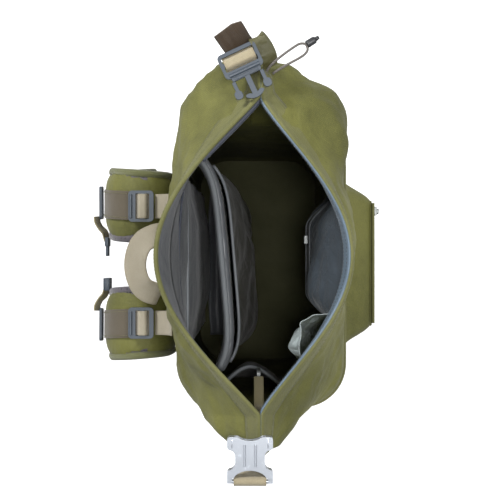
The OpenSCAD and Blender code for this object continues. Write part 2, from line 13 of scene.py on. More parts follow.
import bmesh
import bpy
from mathutils import Matrix, Vector, noise
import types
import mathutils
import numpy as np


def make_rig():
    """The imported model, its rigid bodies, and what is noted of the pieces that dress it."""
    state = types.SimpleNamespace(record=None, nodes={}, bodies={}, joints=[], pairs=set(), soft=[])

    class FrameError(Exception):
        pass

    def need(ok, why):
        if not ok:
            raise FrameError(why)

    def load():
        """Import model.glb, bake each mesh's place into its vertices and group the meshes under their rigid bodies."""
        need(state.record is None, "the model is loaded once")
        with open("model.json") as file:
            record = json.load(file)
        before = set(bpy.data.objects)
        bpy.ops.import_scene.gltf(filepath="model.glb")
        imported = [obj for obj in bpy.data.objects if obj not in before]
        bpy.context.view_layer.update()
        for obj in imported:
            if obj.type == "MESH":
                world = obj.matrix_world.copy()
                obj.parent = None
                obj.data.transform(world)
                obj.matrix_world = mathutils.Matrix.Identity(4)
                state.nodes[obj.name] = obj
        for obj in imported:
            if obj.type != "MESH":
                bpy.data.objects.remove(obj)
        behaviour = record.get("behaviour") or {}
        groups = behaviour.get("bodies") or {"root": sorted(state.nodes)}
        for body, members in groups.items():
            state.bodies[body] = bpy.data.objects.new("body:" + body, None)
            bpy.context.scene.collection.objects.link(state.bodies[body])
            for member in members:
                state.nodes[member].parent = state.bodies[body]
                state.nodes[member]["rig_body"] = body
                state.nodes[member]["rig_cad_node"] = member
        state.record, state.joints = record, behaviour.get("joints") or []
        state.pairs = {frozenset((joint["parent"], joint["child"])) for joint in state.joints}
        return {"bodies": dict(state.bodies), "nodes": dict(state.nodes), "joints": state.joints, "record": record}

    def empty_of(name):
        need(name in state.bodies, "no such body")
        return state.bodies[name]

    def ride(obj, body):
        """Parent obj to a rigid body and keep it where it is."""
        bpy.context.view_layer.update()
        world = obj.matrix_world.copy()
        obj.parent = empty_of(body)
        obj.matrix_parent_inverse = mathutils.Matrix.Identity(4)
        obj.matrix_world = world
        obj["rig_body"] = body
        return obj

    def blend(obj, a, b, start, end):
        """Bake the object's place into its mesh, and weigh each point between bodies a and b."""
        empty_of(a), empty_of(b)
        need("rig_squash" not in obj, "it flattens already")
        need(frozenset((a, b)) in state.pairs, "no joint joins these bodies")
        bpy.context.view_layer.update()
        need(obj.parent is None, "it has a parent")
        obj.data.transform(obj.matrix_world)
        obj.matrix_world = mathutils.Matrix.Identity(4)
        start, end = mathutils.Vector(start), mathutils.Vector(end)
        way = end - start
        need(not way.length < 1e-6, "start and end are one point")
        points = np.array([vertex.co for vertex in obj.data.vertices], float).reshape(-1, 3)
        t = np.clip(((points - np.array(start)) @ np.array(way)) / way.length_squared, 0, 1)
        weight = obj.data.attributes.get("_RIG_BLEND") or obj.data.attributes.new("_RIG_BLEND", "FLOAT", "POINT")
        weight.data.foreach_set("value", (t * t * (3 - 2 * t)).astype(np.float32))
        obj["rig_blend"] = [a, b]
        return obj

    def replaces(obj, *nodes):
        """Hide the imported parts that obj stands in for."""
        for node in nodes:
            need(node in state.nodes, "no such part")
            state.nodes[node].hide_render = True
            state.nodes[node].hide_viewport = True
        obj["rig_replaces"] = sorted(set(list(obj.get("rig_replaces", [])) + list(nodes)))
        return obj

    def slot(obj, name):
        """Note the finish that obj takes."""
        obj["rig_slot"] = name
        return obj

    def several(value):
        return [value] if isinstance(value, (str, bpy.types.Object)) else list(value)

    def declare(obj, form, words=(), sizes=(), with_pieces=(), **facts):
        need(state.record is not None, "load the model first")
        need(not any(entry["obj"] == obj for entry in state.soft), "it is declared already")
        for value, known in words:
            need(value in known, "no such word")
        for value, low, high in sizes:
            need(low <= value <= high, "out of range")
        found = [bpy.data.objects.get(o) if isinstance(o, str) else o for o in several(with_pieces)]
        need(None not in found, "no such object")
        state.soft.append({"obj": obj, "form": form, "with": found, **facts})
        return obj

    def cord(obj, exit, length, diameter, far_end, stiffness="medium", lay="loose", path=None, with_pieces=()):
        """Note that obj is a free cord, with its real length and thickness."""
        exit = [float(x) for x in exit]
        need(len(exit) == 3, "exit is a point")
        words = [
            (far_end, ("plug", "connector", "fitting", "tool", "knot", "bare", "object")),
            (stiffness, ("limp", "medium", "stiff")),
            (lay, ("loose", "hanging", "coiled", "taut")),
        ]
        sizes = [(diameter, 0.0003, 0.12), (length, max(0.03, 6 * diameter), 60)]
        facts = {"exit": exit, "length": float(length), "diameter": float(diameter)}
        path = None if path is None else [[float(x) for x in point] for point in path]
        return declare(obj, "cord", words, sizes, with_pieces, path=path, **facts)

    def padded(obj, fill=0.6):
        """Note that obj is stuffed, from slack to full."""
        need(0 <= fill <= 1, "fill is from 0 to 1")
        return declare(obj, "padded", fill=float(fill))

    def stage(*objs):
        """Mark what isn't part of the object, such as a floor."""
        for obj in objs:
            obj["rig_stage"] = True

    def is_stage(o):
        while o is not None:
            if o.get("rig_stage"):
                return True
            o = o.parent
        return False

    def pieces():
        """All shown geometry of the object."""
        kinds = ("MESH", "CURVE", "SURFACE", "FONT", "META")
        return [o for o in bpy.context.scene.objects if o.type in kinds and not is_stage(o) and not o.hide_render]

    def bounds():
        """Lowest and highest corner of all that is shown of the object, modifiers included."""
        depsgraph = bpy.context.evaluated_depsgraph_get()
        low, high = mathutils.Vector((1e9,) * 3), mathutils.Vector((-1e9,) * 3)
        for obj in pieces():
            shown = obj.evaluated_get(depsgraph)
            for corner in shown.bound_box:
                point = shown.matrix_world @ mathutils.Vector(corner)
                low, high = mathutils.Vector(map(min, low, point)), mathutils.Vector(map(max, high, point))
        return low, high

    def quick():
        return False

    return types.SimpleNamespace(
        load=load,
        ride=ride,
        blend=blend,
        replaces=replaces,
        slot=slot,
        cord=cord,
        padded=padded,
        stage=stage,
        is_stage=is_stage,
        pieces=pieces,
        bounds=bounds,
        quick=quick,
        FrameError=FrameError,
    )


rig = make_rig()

for leftover in list(bpy.data.objects):
    bpy.data.objects.remove(leftover)
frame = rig.load()
cad_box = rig.bounds()
MM = 0.001
SIDES = (("right", 1), ("left", -1))
print("bodies:", sorted(frame["bodies"]))

# %% [markdown]
# ## Camera
# The camera hangs straight above the mouth and looks down into the pack. The right end of the
# pack is at the top of the view, and the front is at its right. A long lens from 0.9 m above
# the rim keeps the perspective mild.

# %% Camera
camera_data = bpy.data.cameras.new("camera")
camera_data.sensor_width = 36
camera_data.lens = 71.3
camera = bpy.data.objects.new("camera", camera_data)
camera.location = (0.015, 0, 1.48)
camera.rotation_euler = (0, 0, -math.pi / 2)
bpy.context.scene.collection.objects.link(camera)
bpy.context.scene.camera = camera
print("camera at", tuple(camera.location))

# %% [markdown]
# ## Cloth from a grid
# Most pieces are sheets, straps or tubes. All of them start as a flat grid whose points are
# moved onto a surface, given as a function of u and v from 0 to 1. The grid's own UV map keeps
# real metres, so a weave has the same pitch on every piece.


# %% Bend a grid onto a surface
def bend_grid(columns, rows, place, size):
    """A flat grid bent so that (u, v) lies at place(u, v); size is its flat width and length"""
    bm = bmesh.new()
    bmesh.ops.create_grid(bm, x_segments=columns, y_segments=rows, size=0.5)
    cloth = bm.loops.layers.uv.new("cloth")
    for face in bm.faces:
        for loop in face.loops:
            loop[cloth].uv = (loop.vert.co.x * size[0], loop.vert.co.y * size[1])
    for vert in bm.verts:
        vert.co = place(vert.co.x + 0.5, vert.co.y + 0.5)
    bm.normal_update()
    return bm


def face_outward(bm, outward):
    """Turns the sheet over if its faces look away from outward, a direction or a function"""
    total = 0
    for face in bm.faces:
        middle = face.calc_center_median()
        total += face.normal.dot(outward(middle) if callable(outward) else Vector(outward))
    if total < 0:
        bmesh.ops.reverse_faces(bm, faces=bm.faces[:])
    bm.normal_update()


def piece(name, bm, body, material, stands_for=(), smooth=True, levels=0, thick=0, offset=-1,
          rounding=0, even=False):
    """Makes the object, finishes it with modifiers and lets it ride on its body"""
    mesh = bpy.data.meshes.new(name)
    bm.to_mesh(mesh)
    bm.free()
    obj = bpy.data.objects.new(name, mesh)
    bpy.context.scene.collection.objects.link(obj)
    mesh.materials.append(material)
    for polygon in mesh.polygons:
        polygon.use_smooth = smooth
    if levels:
        subdivision = obj.modifiers.new("smooth", "SUBSURF")
        subdivision.levels = subdivision.render_levels = levels
    if thick:
        wall = obj.modifiers.new("thickness", "SOLIDIFY")
        wall.thickness = thick
        wall.offset = offset
        wall.use_even_offset = even
    if rounding:
        edge = obj.modifiers.new("rounded edges", "BEVEL")
        edge.width = rounding
        edge.segments = 2
        edge.limit_method = "ANGLE"
        edge.angle_limit = math.radians(50)
        edge.harden_normals = False
    if body:
        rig.ride(obj, body)
    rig.slot(obj, SLOT_OF[material.name])
    if stands_for:
        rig.replaces(obj, *([stands_for] if isinstance(stands_for, str) else stands_for))
    return obj


def curve_through(points, steps=6):
    """A smooth path through points given in millimetres, as points in metres"""
    out = []
    for i in range(len(points) - 1):
        a, b = Vector(points[max(i - 1, 0)]), Vector(points[i])
        c, d = Vector(points[i + 1]), Vector(points[min(i + 2, len(points) - 1)])
        for k in range(steps):
            t = k / steps
            out.append(0.5 * MM * (2 * b + (c - a) * t + (2 * a - 5 * b + 4 * c - d) * t * t
                                   + (3 * b - a - 3 * c + d) * t ** 3))
    return out + [Vector(points[-1]) * MM]


def length_of(path):
    return sum((b - a).length for a, b in zip(path, path[1:]))


def along(path, f):
    """The point a share f of the way along the path's points, and the direction there"""
    at = max(0.0, min(1.0, f)) * (len(path) - 1)
    i = min(int(at), len(path) - 2)
    ahead = (path[min(i + 2, len(path) - 1)] - path[i + 1]).normalized()
    behind = (path[i + 1] - path[i]).normalized()
    return path[i].lerp(path[i + 1], at - i), behind.lerp(ahead, (at - i) / 2).normalized()


def tube_mesh(path, radius, sides=10, reference=(0, 0, 1), flat=1.0):
    """A closed tube: a grid rolled round the path, its seam merged and its ends filled"""
    radius_at = radius if callable(radius) else (lambda f: radius)
    reference = Vector(reference)

    def place(u, v):
        point, ahead = along(path, v)
        across = ahead.cross(reference)
        across = across.normalized() if across.length > 1e-4 else ahead.orthogonal().normalized()
        up = across.cross(ahead)
        turn = 2 * math.pi * u
        return point + radius_at(v) * (across * math.cos(turn) + up * math.sin(turn) * flat)

    bm = bend_grid(sides, len(path) - 1, place, (2 * math.pi * radius_at(0.5), length_of(path)))
    bmesh.ops.remove_doubles(bm, verts=bm.verts[:], dist=1e-6)
    bmesh.ops.holes_fill(bm, edges=[e for e in bm.edges if e.is_boundary], sides=0)
    bmesh.ops.recalc_face_normals(bm, faces=bm.faces[:])
    return bm


def mirror_x(bm):
    """The left-hand twin of a right-hand piece"""
    bmesh.ops.scale(bm, vec=(-1, 1, 1), verts=bm.verts[:])
    bmesh.ops.reverse_faces(bm, faces=bm.faces[:])
    bm.normal_update()
    return bm


print("grid helpers ready")

# %% [markdown]
# ## Shader groups
# Weave, ribbed webbing, spacer mesh and the two-tone patches of cloth (fading, and on the olive
# canvas also painted light and shade) are each one node group with named inputs, built once and
# placed in every material that needs it. A group only puts out heights, masks and colours. The
# Principled shader stays in the material.


# %% Node helpers
def linear(red, green, blue):
    """A colour given as 0 to 255 display values, in the linear values that shaders use"""
    return tuple((c / 255 / 12.92) if c <= 10 else ((c / 255 + 0.055) / 1.055) ** 2.4
                 for c in (red, green, blue)) + (1.0,)


def new_group(name, inputs, outputs):
    group = bpy.data.node_groups.new(name, "ShaderNodeTree")
    for label, kind, value in inputs:
        socket = group.interface.new_socket(name=label, in_out="INPUT", socket_type=kind)
        if value is not None:
            socket.default_value = value
    for label, kind in outputs:
        group.interface.new_socket(name=label, in_out="OUTPUT", socket_type=kind)
    return group, group.nodes.new("NodeGroupInput"), group.nodes.new("NodeGroupOutput")


def connect(tree, socket, value):
    """Joins a socket to another socket, or sets it to a number"""
    if isinstance(value, bpy.types.NodeSocket):
        tree.links.new(value, socket)
    elif value is not None:
        socket.default_value = value


def calculate(tree, operation, a, b=None, c=None):
    node = tree.nodes.new("ShaderNodeMath")
    node.operation = operation
    for socket, value in zip(node.inputs, (a, b, c)):
        connect(tree, socket, value)
    return node.outputs[0]


def mixed(tree, factor, a, b, blend="MIX"):
    node = tree.nodes.new("ShaderNodeMix")
    node.data_type = "RGBA"
    node.blend_type = blend
    for label, value in (("Factor", factor), ("A", a), ("B", b)):
        socket = next(s for s in node.inputs if s.name == label and s.enabled)
        connect(tree, socket, value)
    return next(s for s in node.outputs if s.enabled)


def noise_value(tree, vector, scale, detail=3.0, roughness=0.5, distortion=0.0):
    node = tree.nodes.new("ShaderNodeTexNoise")
    connect(tree, node.inputs["Vector"], vector)
    node.inputs["Scale"].default_value = scale
    node.inputs["Detail"].default_value = detail
    node.inputs["Roughness"].default_value = roughness
    node.inputs["Distortion"].default_value = distortion
    return node.outputs["Fac"]


def spread(tree, value, low, high):
    """Stretches the band from low to high over the whole range from 0 to 1"""
    node = tree.nodes.new("ShaderNodeMapRange")
    node.interpolation_type = "SMOOTHSTEP"
    connect(tree, node.inputs["Value"], value)
    node.inputs["From Min"].default_value = low
    node.inputs["From Max"].default_value = high
    return node.outputs["Result"]


print("node helpers ready")


# %% Plain weave
def make_weave():
    """Threads over and under each other, in the metres of the piece's UV map"""
    group, given, out = new_group(
        "plain weave", [("UV", "NodeSocketVector", None), ("Threads", "NodeSocketFloat", 900.0)],
        [("Height", "NodeSocketFloat"), ("Gap", "NodeSocketFloat")])
    split = group.nodes.new("ShaderNodeSeparateXYZ")
    group.links.new(given.outputs["UV"], split.inputs[0])
    u = calculate(group, "MULTIPLY", split.outputs["X"], given.outputs["Threads"])
    v = calculate(group, "MULTIPLY", split.outputs["Y"], given.outputs["Threads"])
    cells = calculate(group, "ADD", calculate(group, "FLOOR", u), calculate(group, "FLOOR", v))
    over = calculate(group, "ABSOLUTE", calculate(group, "MODULO", cells, 2.0))
    round_u = calculate(group, "ABSOLUTE", calculate(group, "SINE",
                                                     calculate(group, "MULTIPLY", u, math.pi)))
    round_v = calculate(group, "ABSOLUTE", calculate(group, "SINE",
                                                     calculate(group, "MULTIPLY", v, math.pi)))
    warp = calculate(group, "MULTIPLY", over, round_u)
    weft = calculate(group, "MULTIPLY", calculate(group, "SUBTRACT", 1.0, over), round_v)
    height = calculate(group, "ADD", warp, weft)
    group.links.new(height, out.inputs["Height"])
    gap = calculate(group, "SUBTRACT", 1.0, calculate(group, "MULTIPLY", round_u, round_v))
    group.links.new(gap, out.inputs["Gap"])
    return group


WEAVE = make_weave()
print("made", WEAVE.name)


# %% Webbing ribs
def make_ribs():
    """Herringbone ribs across a strap, and its two denser edges"""
    group, given, out = new_group(
        "webbing ribs", [("UV", "NodeSocketVector", None), ("Width", "NodeSocketFloat", 0.025),
                         ("Pitch", "NodeSocketFloat", 0.0016)],
        [("Height", "NodeSocketFloat"), ("Edge", "NodeSocketFloat")])
    split = group.nodes.new("ShaderNodeSeparateXYZ")
    group.links.new(given.outputs["UV"], split.inputs[0])
    across = calculate(group, "ABSOLUTE", split.outputs["X"])
    zigzag = calculate(group, "PINGPONG", across, 0.0035)
    steps = calculate(group, "DIVIDE", calculate(group, "ADD", split.outputs["Y"], zigzag),
                      given.outputs["Pitch"])
    rib = calculate(group, "ABSOLUTE", calculate(group, "SINE",
                                                 calculate(group, "MULTIPLY", steps, math.pi)))
    threads = calculate(group, "ABSOLUTE", calculate(group, "SINE", calculate(
        group, "MULTIPLY", split.outputs["X"], math.pi / 0.0011)))
    height = calculate(group, "ADD", calculate(group, "MULTIPLY", rib, 0.7),
                       calculate(group, "MULTIPLY", threads, 0.3))
    group.links.new(height, out.inputs["Height"])
    half = calculate(group, "MULTIPLY", given.outputs["Width"], 0.5)
    inset = calculate(group, "SUBTRACT", half, across)
    group.links.new(calculate(group, "LESS_THAN", inset, 0.0018), out.inputs["Edge"])
    return group


RIBS = make_ribs()
print("made", RIBS.name)


# %% Spacer mesh
def make_spacer_mesh():
    """Small round holes a step apart, the same on every face of a pad"""
    group, given, out = new_group(
        "spacer mesh", [("Point", "NodeSocketVector", None)],
        [("Height", "NodeSocketFloat"), ("Hole", "NodeSocketFloat")])
    cells = group.nodes.new("ShaderNodeTexVoronoi")
    cells.inputs["Scale"].default_value = 300.0
    cells.inputs["Randomness"].default_value = 0.35
    group.links.new(given.outputs["Point"], cells.inputs["Vector"])
    hole = calculate(group, "SUBTRACT", 1.0,
                     spread(group, cells.outputs["Distance"], 0.22, 0.42))
    group.links.new(hole, out.inputs["Hole"])
    group.links.new(calculate(group, "SUBTRACT", 1.0, hole), out.inputs["Height"])
    return group


SPACER = make_spacer_mesh()
print("made", SPACER.name)


# %% Two-tone patches: fading, and painted light and shade
def make_fade_and_shade():
    """Broad patches between a deep and a pale tone, with fine mottling of the yarn; they are fading of the cloth, and
    on the olive canvas also painted light and shade, its two tones being its shaded and its lit colour
    """
    group, given, out = new_group(
        "faded patches", [("Point", "NodeSocketVector", None),
                          ("Deep", "NodeSocketColor", (0.1, 0.1, 0.1, 1)),
                          ("Faded", "NodeSocketColor", (0.3, 0.3, 0.3, 1)),
                          ("Amount", "NodeSocketFloat", 0.6)],
        [("Color", "NodeSocketColor"), ("Patch", "NodeSocketFloat")])
    broad = noise_value(group, given.outputs["Point"], 9.0, 4.0, 0.6)
    fine = noise_value(group, given.outputs["Point"], 800.0, 3.0, 0.7)
    patch = spread(group, broad, 0.36, 0.66)
    yarn = spread(group, fine, 0.3, 0.72)
    share = calculate(group, "MULTIPLY", given.outputs["Amount"], calculate(
        group, "ADD", calculate(group, "MULTIPLY_ADD", patch, 0.42, 0.16),
        calculate(group, "MULTIPLY", yarn, 0.28)))
    group.links.new(mixed(group, share, given.outputs["Deep"], given.outputs["Faded"]),
                    out.inputs["Color"])
    group.links.new(patch, out.inputs["Patch"])
    return group


FADE_AND_SHADE = make_fade_and_shade()
print("made", FADE_AND_SHADE.name)

# %% [markdown]
# ## Finishes
# Every cloth is the same recipe with its own numbers: two tones from the patch group, which on the
# olive canvas are painted light and shade as well, the weave as a fine bump, slow noise as a soft
# wrinkle bump, and gaps between threads a little darker as painted shade.
# Webbing, mesh and moulded plastic each have their own short recipe.

# %% Start a material
SLOT_OF = {}


def start_material(name, slot):
    """A material with its shader and its texture coordinates"""
    material = bpy.data.materials.new(name)
    material.use_nodes = True
    tree = material.node_tree
    shader = tree.nodes["Principled BSDF"]
    places = tree.nodes.new("ShaderNodeTexCoord")
    SLOT_OF[name] = slot
    return material, tree, shader, places


def use_group(tree, group, **inputs):
    node = tree.nodes.new("ShaderNodeGroup")
    node.node_tree = group
    for label, value in inputs.items():
        connect(tree, node.inputs[label], value)
    return node


def bump(tree, height, strength, distance, below=None):
    node = tree.nodes.new("ShaderNodeBump")
    node.inputs["Strength"].default_value = strength
    node.inputs["Distance"].default_value = distance
    connect(tree, node.inputs["Height"], height)
    if below is not None:
        connect(tree, node.inputs["Normal"], below)
    return node.outputs["Normal"]


print("material helpers ready")


# %% Woven cloth
def woven(name, slot, deep, faded, threads=900.0, rough=0.8, sheen=0.25, wrinkle=0.35,
          weave=0.35, wrinkle_scale=28.0, amount=0.7):
    material, tree, shader, places = start_material(name, slot)
    fade_and_shade = use_group(tree, FADE_AND_SHADE, Point=places.outputs["Object"], Deep=linear(*deep),
                     Faded=linear(*faded), Amount=amount)
    cloth = use_group(tree, WEAVE, UV=places.outputs["UV"], Threads=threads)
    shade = calculate(tree, "MULTIPLY", cloth.outputs["Gap"], 0.35)
    colour = mixed(tree, shade, fade_and_shade.outputs["Color"], linear(*[c * 0.55 for c in deep]))
    connect(tree, shader.inputs["Base Color"], colour)
    roughness = calculate(tree, "MULTIPLY_ADD", fade_and_shade.outputs["Patch"], -0.12, rough)
    connect(tree, shader.inputs["Roughness"], roughness)
    folds = noise_value(tree, places.outputs["Object"], wrinkle_scale, 3.0, 0.55, 1.2)
    soft = bump(tree, folds, wrinkle, 0.006)
    connect(tree, shader.inputs["Normal"], bump(tree, cloth.outputs["Height"], weave, 0.0004,
                                                 soft))
    shader.inputs["Sheen Weight"].default_value = sheen
    shader.inputs["Sheen Roughness"].default_value = 0.4
    return material


# The canvas's deep and pale tones are its shaded and its lit olive: its patches are painted light and shade as well as
# fading.
CANVAS = woven("olive canvas", "shell_fabric", (58, 59, 17), (132, 131, 60), sheen=0.02, amount=0.97, wrinkle=0.75,
               wrinkle_scale=17.0)
CANVAS_INSIDE = woven("olive canvas inside", "shell_fabric", (70, 68, 34), (112, 108, 70),
                      rough=0.5, sheen=0.0, wrinkle=0.5)
CANVAS_HEM = woven("olive hem", "shell_fabric", (88, 88, 42), (136, 135, 84), weave=0.5,
                   sheen=0.06)
SATIN = woven("grey satin lining", "padding", (86, 88, 92), (120, 123, 127), threads=1600,
              rough=0.42, sheen=0.15, wrinkle=0.5, weave=0.15)
SATIN_LIGHT = woven("light grey binding", "padding", (108, 112, 116), (144, 148, 152),
                    threads=1600, rough=0.45, sheen=0.1, weave=0.3)
LINING = woven("dark lining", "lining", (66, 65, 60), (98, 96, 88), threads=1400, rough=0.5,
               sheen=0.1, wrinkle=0.6, weave=0.15)
SLATE = woven("slate lining", "lining", (54, 61, 67), (98, 107, 116), threads=1500, rough=0.34,
              sheen=0.1, wrinkle=0.7, weave=0.12)
PALE = woven("pale crinkled lining", "lining", (160, 172, 172), (220, 230, 230), threads=1500,
             rough=0.35, sheen=0.1, wrinkle=1.0, weave=0.1, wrinkle_scale=60.0)
TAPE_BLUE = woven("blue grey tape", "rim_binding", (80, 97, 113), (120, 139, 154),
                  threads=1300, rough=0.5, sheen=0.15, wrinkle=0.2)
TAPE_DARK = woven("dark slate tape", "rim_binding", (44, 48, 60), (66, 72, 88), threads=1300,
                  rough=0.55, wrinkle=0.2)
FACING = woven("brown facing", "brown_webbing", (74, 66, 50), (98, 88, 72), threads=1100,
               rough=0.8, wrinkle=0.2)
BASE_CLOTH = woven("dark base cloth", "shell_fabric", (70, 70, 36), (100, 100, 58), threads=600,
                   rough=0.7, weave=0.6)
ZIP_TAPE = woven("zip tape", "zip_tape", (24, 25, 22), (42, 42, 38), threads=1200, rough=0.75,
                 wrinkle=0.1, weave=0.5)
THREAD = woven("olive thread", "shell_fabric", (100, 100, 52), (134, 134, 84), threads=3000,
               wrinkle=0.0)
THREAD_DARK = woven("dark thread", "lining", (58, 60, 62), (88, 90, 92), threads=3000,
                    wrinkle=0.0)
THREAD_TAN = woven("tan thread", "tan_webbing", (150, 142, 122), (196, 188, 168), threads=3000,
                   wrinkle=0.0)
STRETCH = woven("stretch pocket cloth", "shell_fabric", (78, 78, 50), (112, 112, 76),
                threads=520, rough=0.85, wrinkle=0.3, weave=0.8)
print(len(SLOT_OF), "cloths")


# %% Webbing
def webbing_material(name, slot, deep, faded, width=0.025, pitch=0.0016, rough=0.7):
    material, tree, shader, places = start_material(name, slot)
    fade_and_shade = use_group(tree, FADE_AND_SHADE, Point=places.outputs["Object"], Deep=linear(*deep),
                     Faded=linear(*faded), Amount=0.75)
    ribs = use_group(tree, RIBS, UV=places.outputs["UV"], Width=width, Pitch=pitch)
    # Painted shade: the valleys between the ribs are darkened.
    valley_shade = calculate(tree, "MULTIPLY", calculate(tree, "SUBTRACT", 1.0,
                                                   ribs.outputs["Height"]), 0.45)
    colour = mixed(tree, valley_shade, fade_and_shade.outputs["Color"], linear(*[c * 0.6 for c in deep]))
    edge = mixed(tree, calculate(tree, "MULTIPLY", ribs.outputs["Edge"], 0.4), colour,
                 linear(*deep))
    connect(tree, shader.inputs["Base Color"], edge)
    connect(tree, shader.inputs["Roughness"],
            calculate(tree, "MULTIPLY_ADD", fade_and_shade.outputs["Patch"], -0.1, rough))
    connect(tree, shader.inputs["Normal"], bump(tree, ribs.outputs["Height"], 0.7, 0.0005))
    shader.inputs["Sheen Weight"].default_value = 0.2
    return material


WEB_TAN = webbing_material("tan webbing", "tan_webbing", (142, 133, 112), (188, 179, 160))
WEB_WIDE = webbing_material("wide tan webbing", "tan_webbing", (146, 134, 106),
                            (192, 180, 150), width=0.030)
WEB_BROWN = webbing_material("brown webbing", "brown_webbing", (38, 26, 12), (84, 62, 36),
                             width=0.028)
WEB_OLIVE = webbing_material("olive edge tape", "shell_fabric", (78, 80, 40), (116, 118, 72),
                             width=0.012, pitch=0.0012)
WEB_NARROW = webbing_material("narrow tan webbing", "tan_webbing", (128, 118, 84),
                              (168, 158, 122), width=0.010, pitch=0.0012)
print("webbing ready")


# %% Air mesh
def mesh_material(name, slot, deep, faded):
    material, tree, shader, places = start_material(name, slot)
    fade_and_shade = use_group(tree, FADE_AND_SHADE, Point=places.outputs["Object"], Deep=linear(*deep),
                     Faded=linear(*faded), Amount=0.8)
    mesh = use_group(tree, SPACER, Point=places.outputs["Object"])
    # Painted shade: the holes of the mesh are darkened.
    colour = mixed(tree, calculate(tree, "MULTIPLY", mesh.outputs["Hole"], 0.7),
                   fade_and_shade.outputs["Color"], linear(*[c * 0.45 for c in deep]))
    connect(tree, shader.inputs["Base Color"], colour)
    connect(tree, shader.inputs["Roughness"],
            calculate(tree, "MULTIPLY_ADD", mesh.outputs["Hole"], 0.1, 0.78))
    yarn = noise_value(tree, places.outputs["Object"], 900.0, 2.0)
    fuzz = bump(tree, yarn, 0.3, 0.0004)
    connect(tree, shader.inputs["Normal"], bump(tree, mesh.outputs["Height"], 0.6, 0.0007, fuzz))
    shader.inputs["Sheen Weight"].default_value = 0.3
    return material


AIR_MESH = mesh_material("air mesh", "air_mesh", (62, 57, 62), (98, 92, 98))
print("air mesh ready")


# %% Moulded plastic and metal
def moulded(name, slot, colour, rough=0.42, metal=0.0, grain=0.12):
    """Fine grain from the mould, and paler, rougher scuffs where it has rubbed"""
    material, tree, shader, places = start_material(name, slot)
    point = places.outputs["Object"]
    scuff = spread(tree, noise_value(tree, point, 130.0, 5.0, 0.7), 0.56, 0.78)
    broad = noise_value(tree, point, 30.0, 2.0)
    lighter = linear(*[min(255, c * 1.22 + 12) for c in colour])
    darker = linear(*[c * 0.86 for c in colour])
    tone = mixed(tree, broad, darker, linear(*colour))
    connect(tree, shader.inputs["Base Color"],
            mixed(tree, calculate(tree, "MULTIPLY", scuff, 0.5), tone, lighter))
    connect(tree, shader.inputs["Roughness"],
            calculate(tree, "MULTIPLY_ADD", scuff, 0.2, rough))
    shader.inputs["Metallic"].default_value = metal
    fine = noise_value(tree, point, 1800.0, 2.0)
    connect(tree, shader.inputs["Normal"], bump(tree, fine, grain, 0.0003))
    return material


PLASTIC = moulded("slate plastic", "grey_plastic", (58, 67, 77))
PLASTIC_DARK = moulded("black plastic", "black_plastic", (30, 31, 34), rough=0.4)
# Light silver colour: partly the socket's own pale tone and partly painted highlight.
SILVER_AND_HIGHLIGHT = moulded("silver plastic", "silver_plastic", (168, 172, 179), rough=0.3, metal=0.65)
METAL = moulded("slider metal", "zip_metal", (112, 114, 113), rough=0.4, metal=0.6, grain=0.05)
ALLOY = moulded("stay alloy", "frame_metal", (190, 192, 195), rough=0.35, metal=0.9, grain=0.05)
SHEET = moulded("frame sheet plastic", "frame_plastic", (34, 34, 34), rough=0.5)
print("plastics ready")


# %% Braided cord
def braid_material(name, slot, base, fleck):
    material, tree, shader, places = start_material(name, slot)
    split = tree.nodes.new("ShaderNodeSeparateXYZ")
    tree.links.new(places.outputs["UV"], split.inputs[0])
    one = calculate(tree, "SINE", calculate(tree, "MULTIPLY", calculate(
        tree, "ADD", split.outputs["X"], split.outputs["Y"]), 2 * math.pi / 0.0016))
    two = calculate(tree, "SINE", calculate(tree, "MULTIPLY", calculate(
        tree, "SUBTRACT", split.outputs["X"], split.outputs["Y"]), 2 * math.pi / 0.0016))
    height = calculate(tree, "MAXIMUM", one, two)
    # Painted highlight and shade: the raised strands take the lighter tone, the grooves between them the darker one.
    connect(tree, shader.inputs["Base Color"],
            mixed(tree, spread(tree, height, 0.0, 1.0), linear(*base), linear(*fleck)))
    shader.inputs["Roughness"].default_value = 0.7
    connect(tree, shader.inputs["Normal"], bump(tree, height, 0.6, 0.0003))
    return material


CORD = braid_material("shock cord", "shock_cord", (62, 58, 57), (122, 116, 110))
print("cord ready")

# %% [markdown]
# ## The shock cord
# A loop of elastic cord leaves the right tip of the rim, runs out to a small toggle and comes
# back. It is as long as it looks, so none is stored away. Its points are the frame's own.

# %% Shock cord
CORD_ROUTE = [[182, -15.5, 554], [187, -19, 556], [193, -26, 558], [199, -34, 559],
              [204, -41.5, 560], [206.6, -46.4, 560.2], [206.2, -51.4, 560.2],
              [201.6, -53.6, 560.2], [197, -51, 560], [193, -45, 559.4], [188.6, -36.5, 558.4],
              [184, -28, 557], [179.6, -21, 555]]
cord_path = curve_through(CORD_ROUTE, 3)
cord_piece = piece("shock_cord", tube_mesh(cord_path, 1.2 * MM, 12), "pack", CORD, "bungee_loop")

# %% Toggle on the cord
toggle_mesh = bmesh.new()
bmesh.ops.create_cone(toggle_mesh, cap_ends=True, segments=32, radius1=3.6 * MM,
                      radius2=3.4 * MM, depth=7 * MM)
ends = [f for f in toggle_mesh.faces if len(f.verts) > 4]
bmesh.ops.bevel(toggle_mesh, geom=[e for f in ends for e in f.edges], offset=0.9 * MM,
                affect="EDGES", segments=3, profile=0.5, material=-1)
bmesh.ops.translate(toggle_mesh, vec=(0, 0, 3.5 * MM), verts=toggle_mesh.verts[:])
bmesh.ops.scale(toggle_mesh, vec=(1, 1, 1.35), verts=toggle_mesh.verts[:])
bmesh.ops.translate(toggle_mesh, vec=(0, 0, -2.4 * MM), verts=toggle_mesh.verts[:])
stem = bmesh.ops.create_cone(toggle_mesh, cap_ends=True, segments=24, radius1=2.4 * MM,
                             radius2=1.6 * MM, depth=4 * MM)
bmesh.ops.translate(toggle_mesh, vec=(0, 0, 9 * MM), verts=stem["verts"])
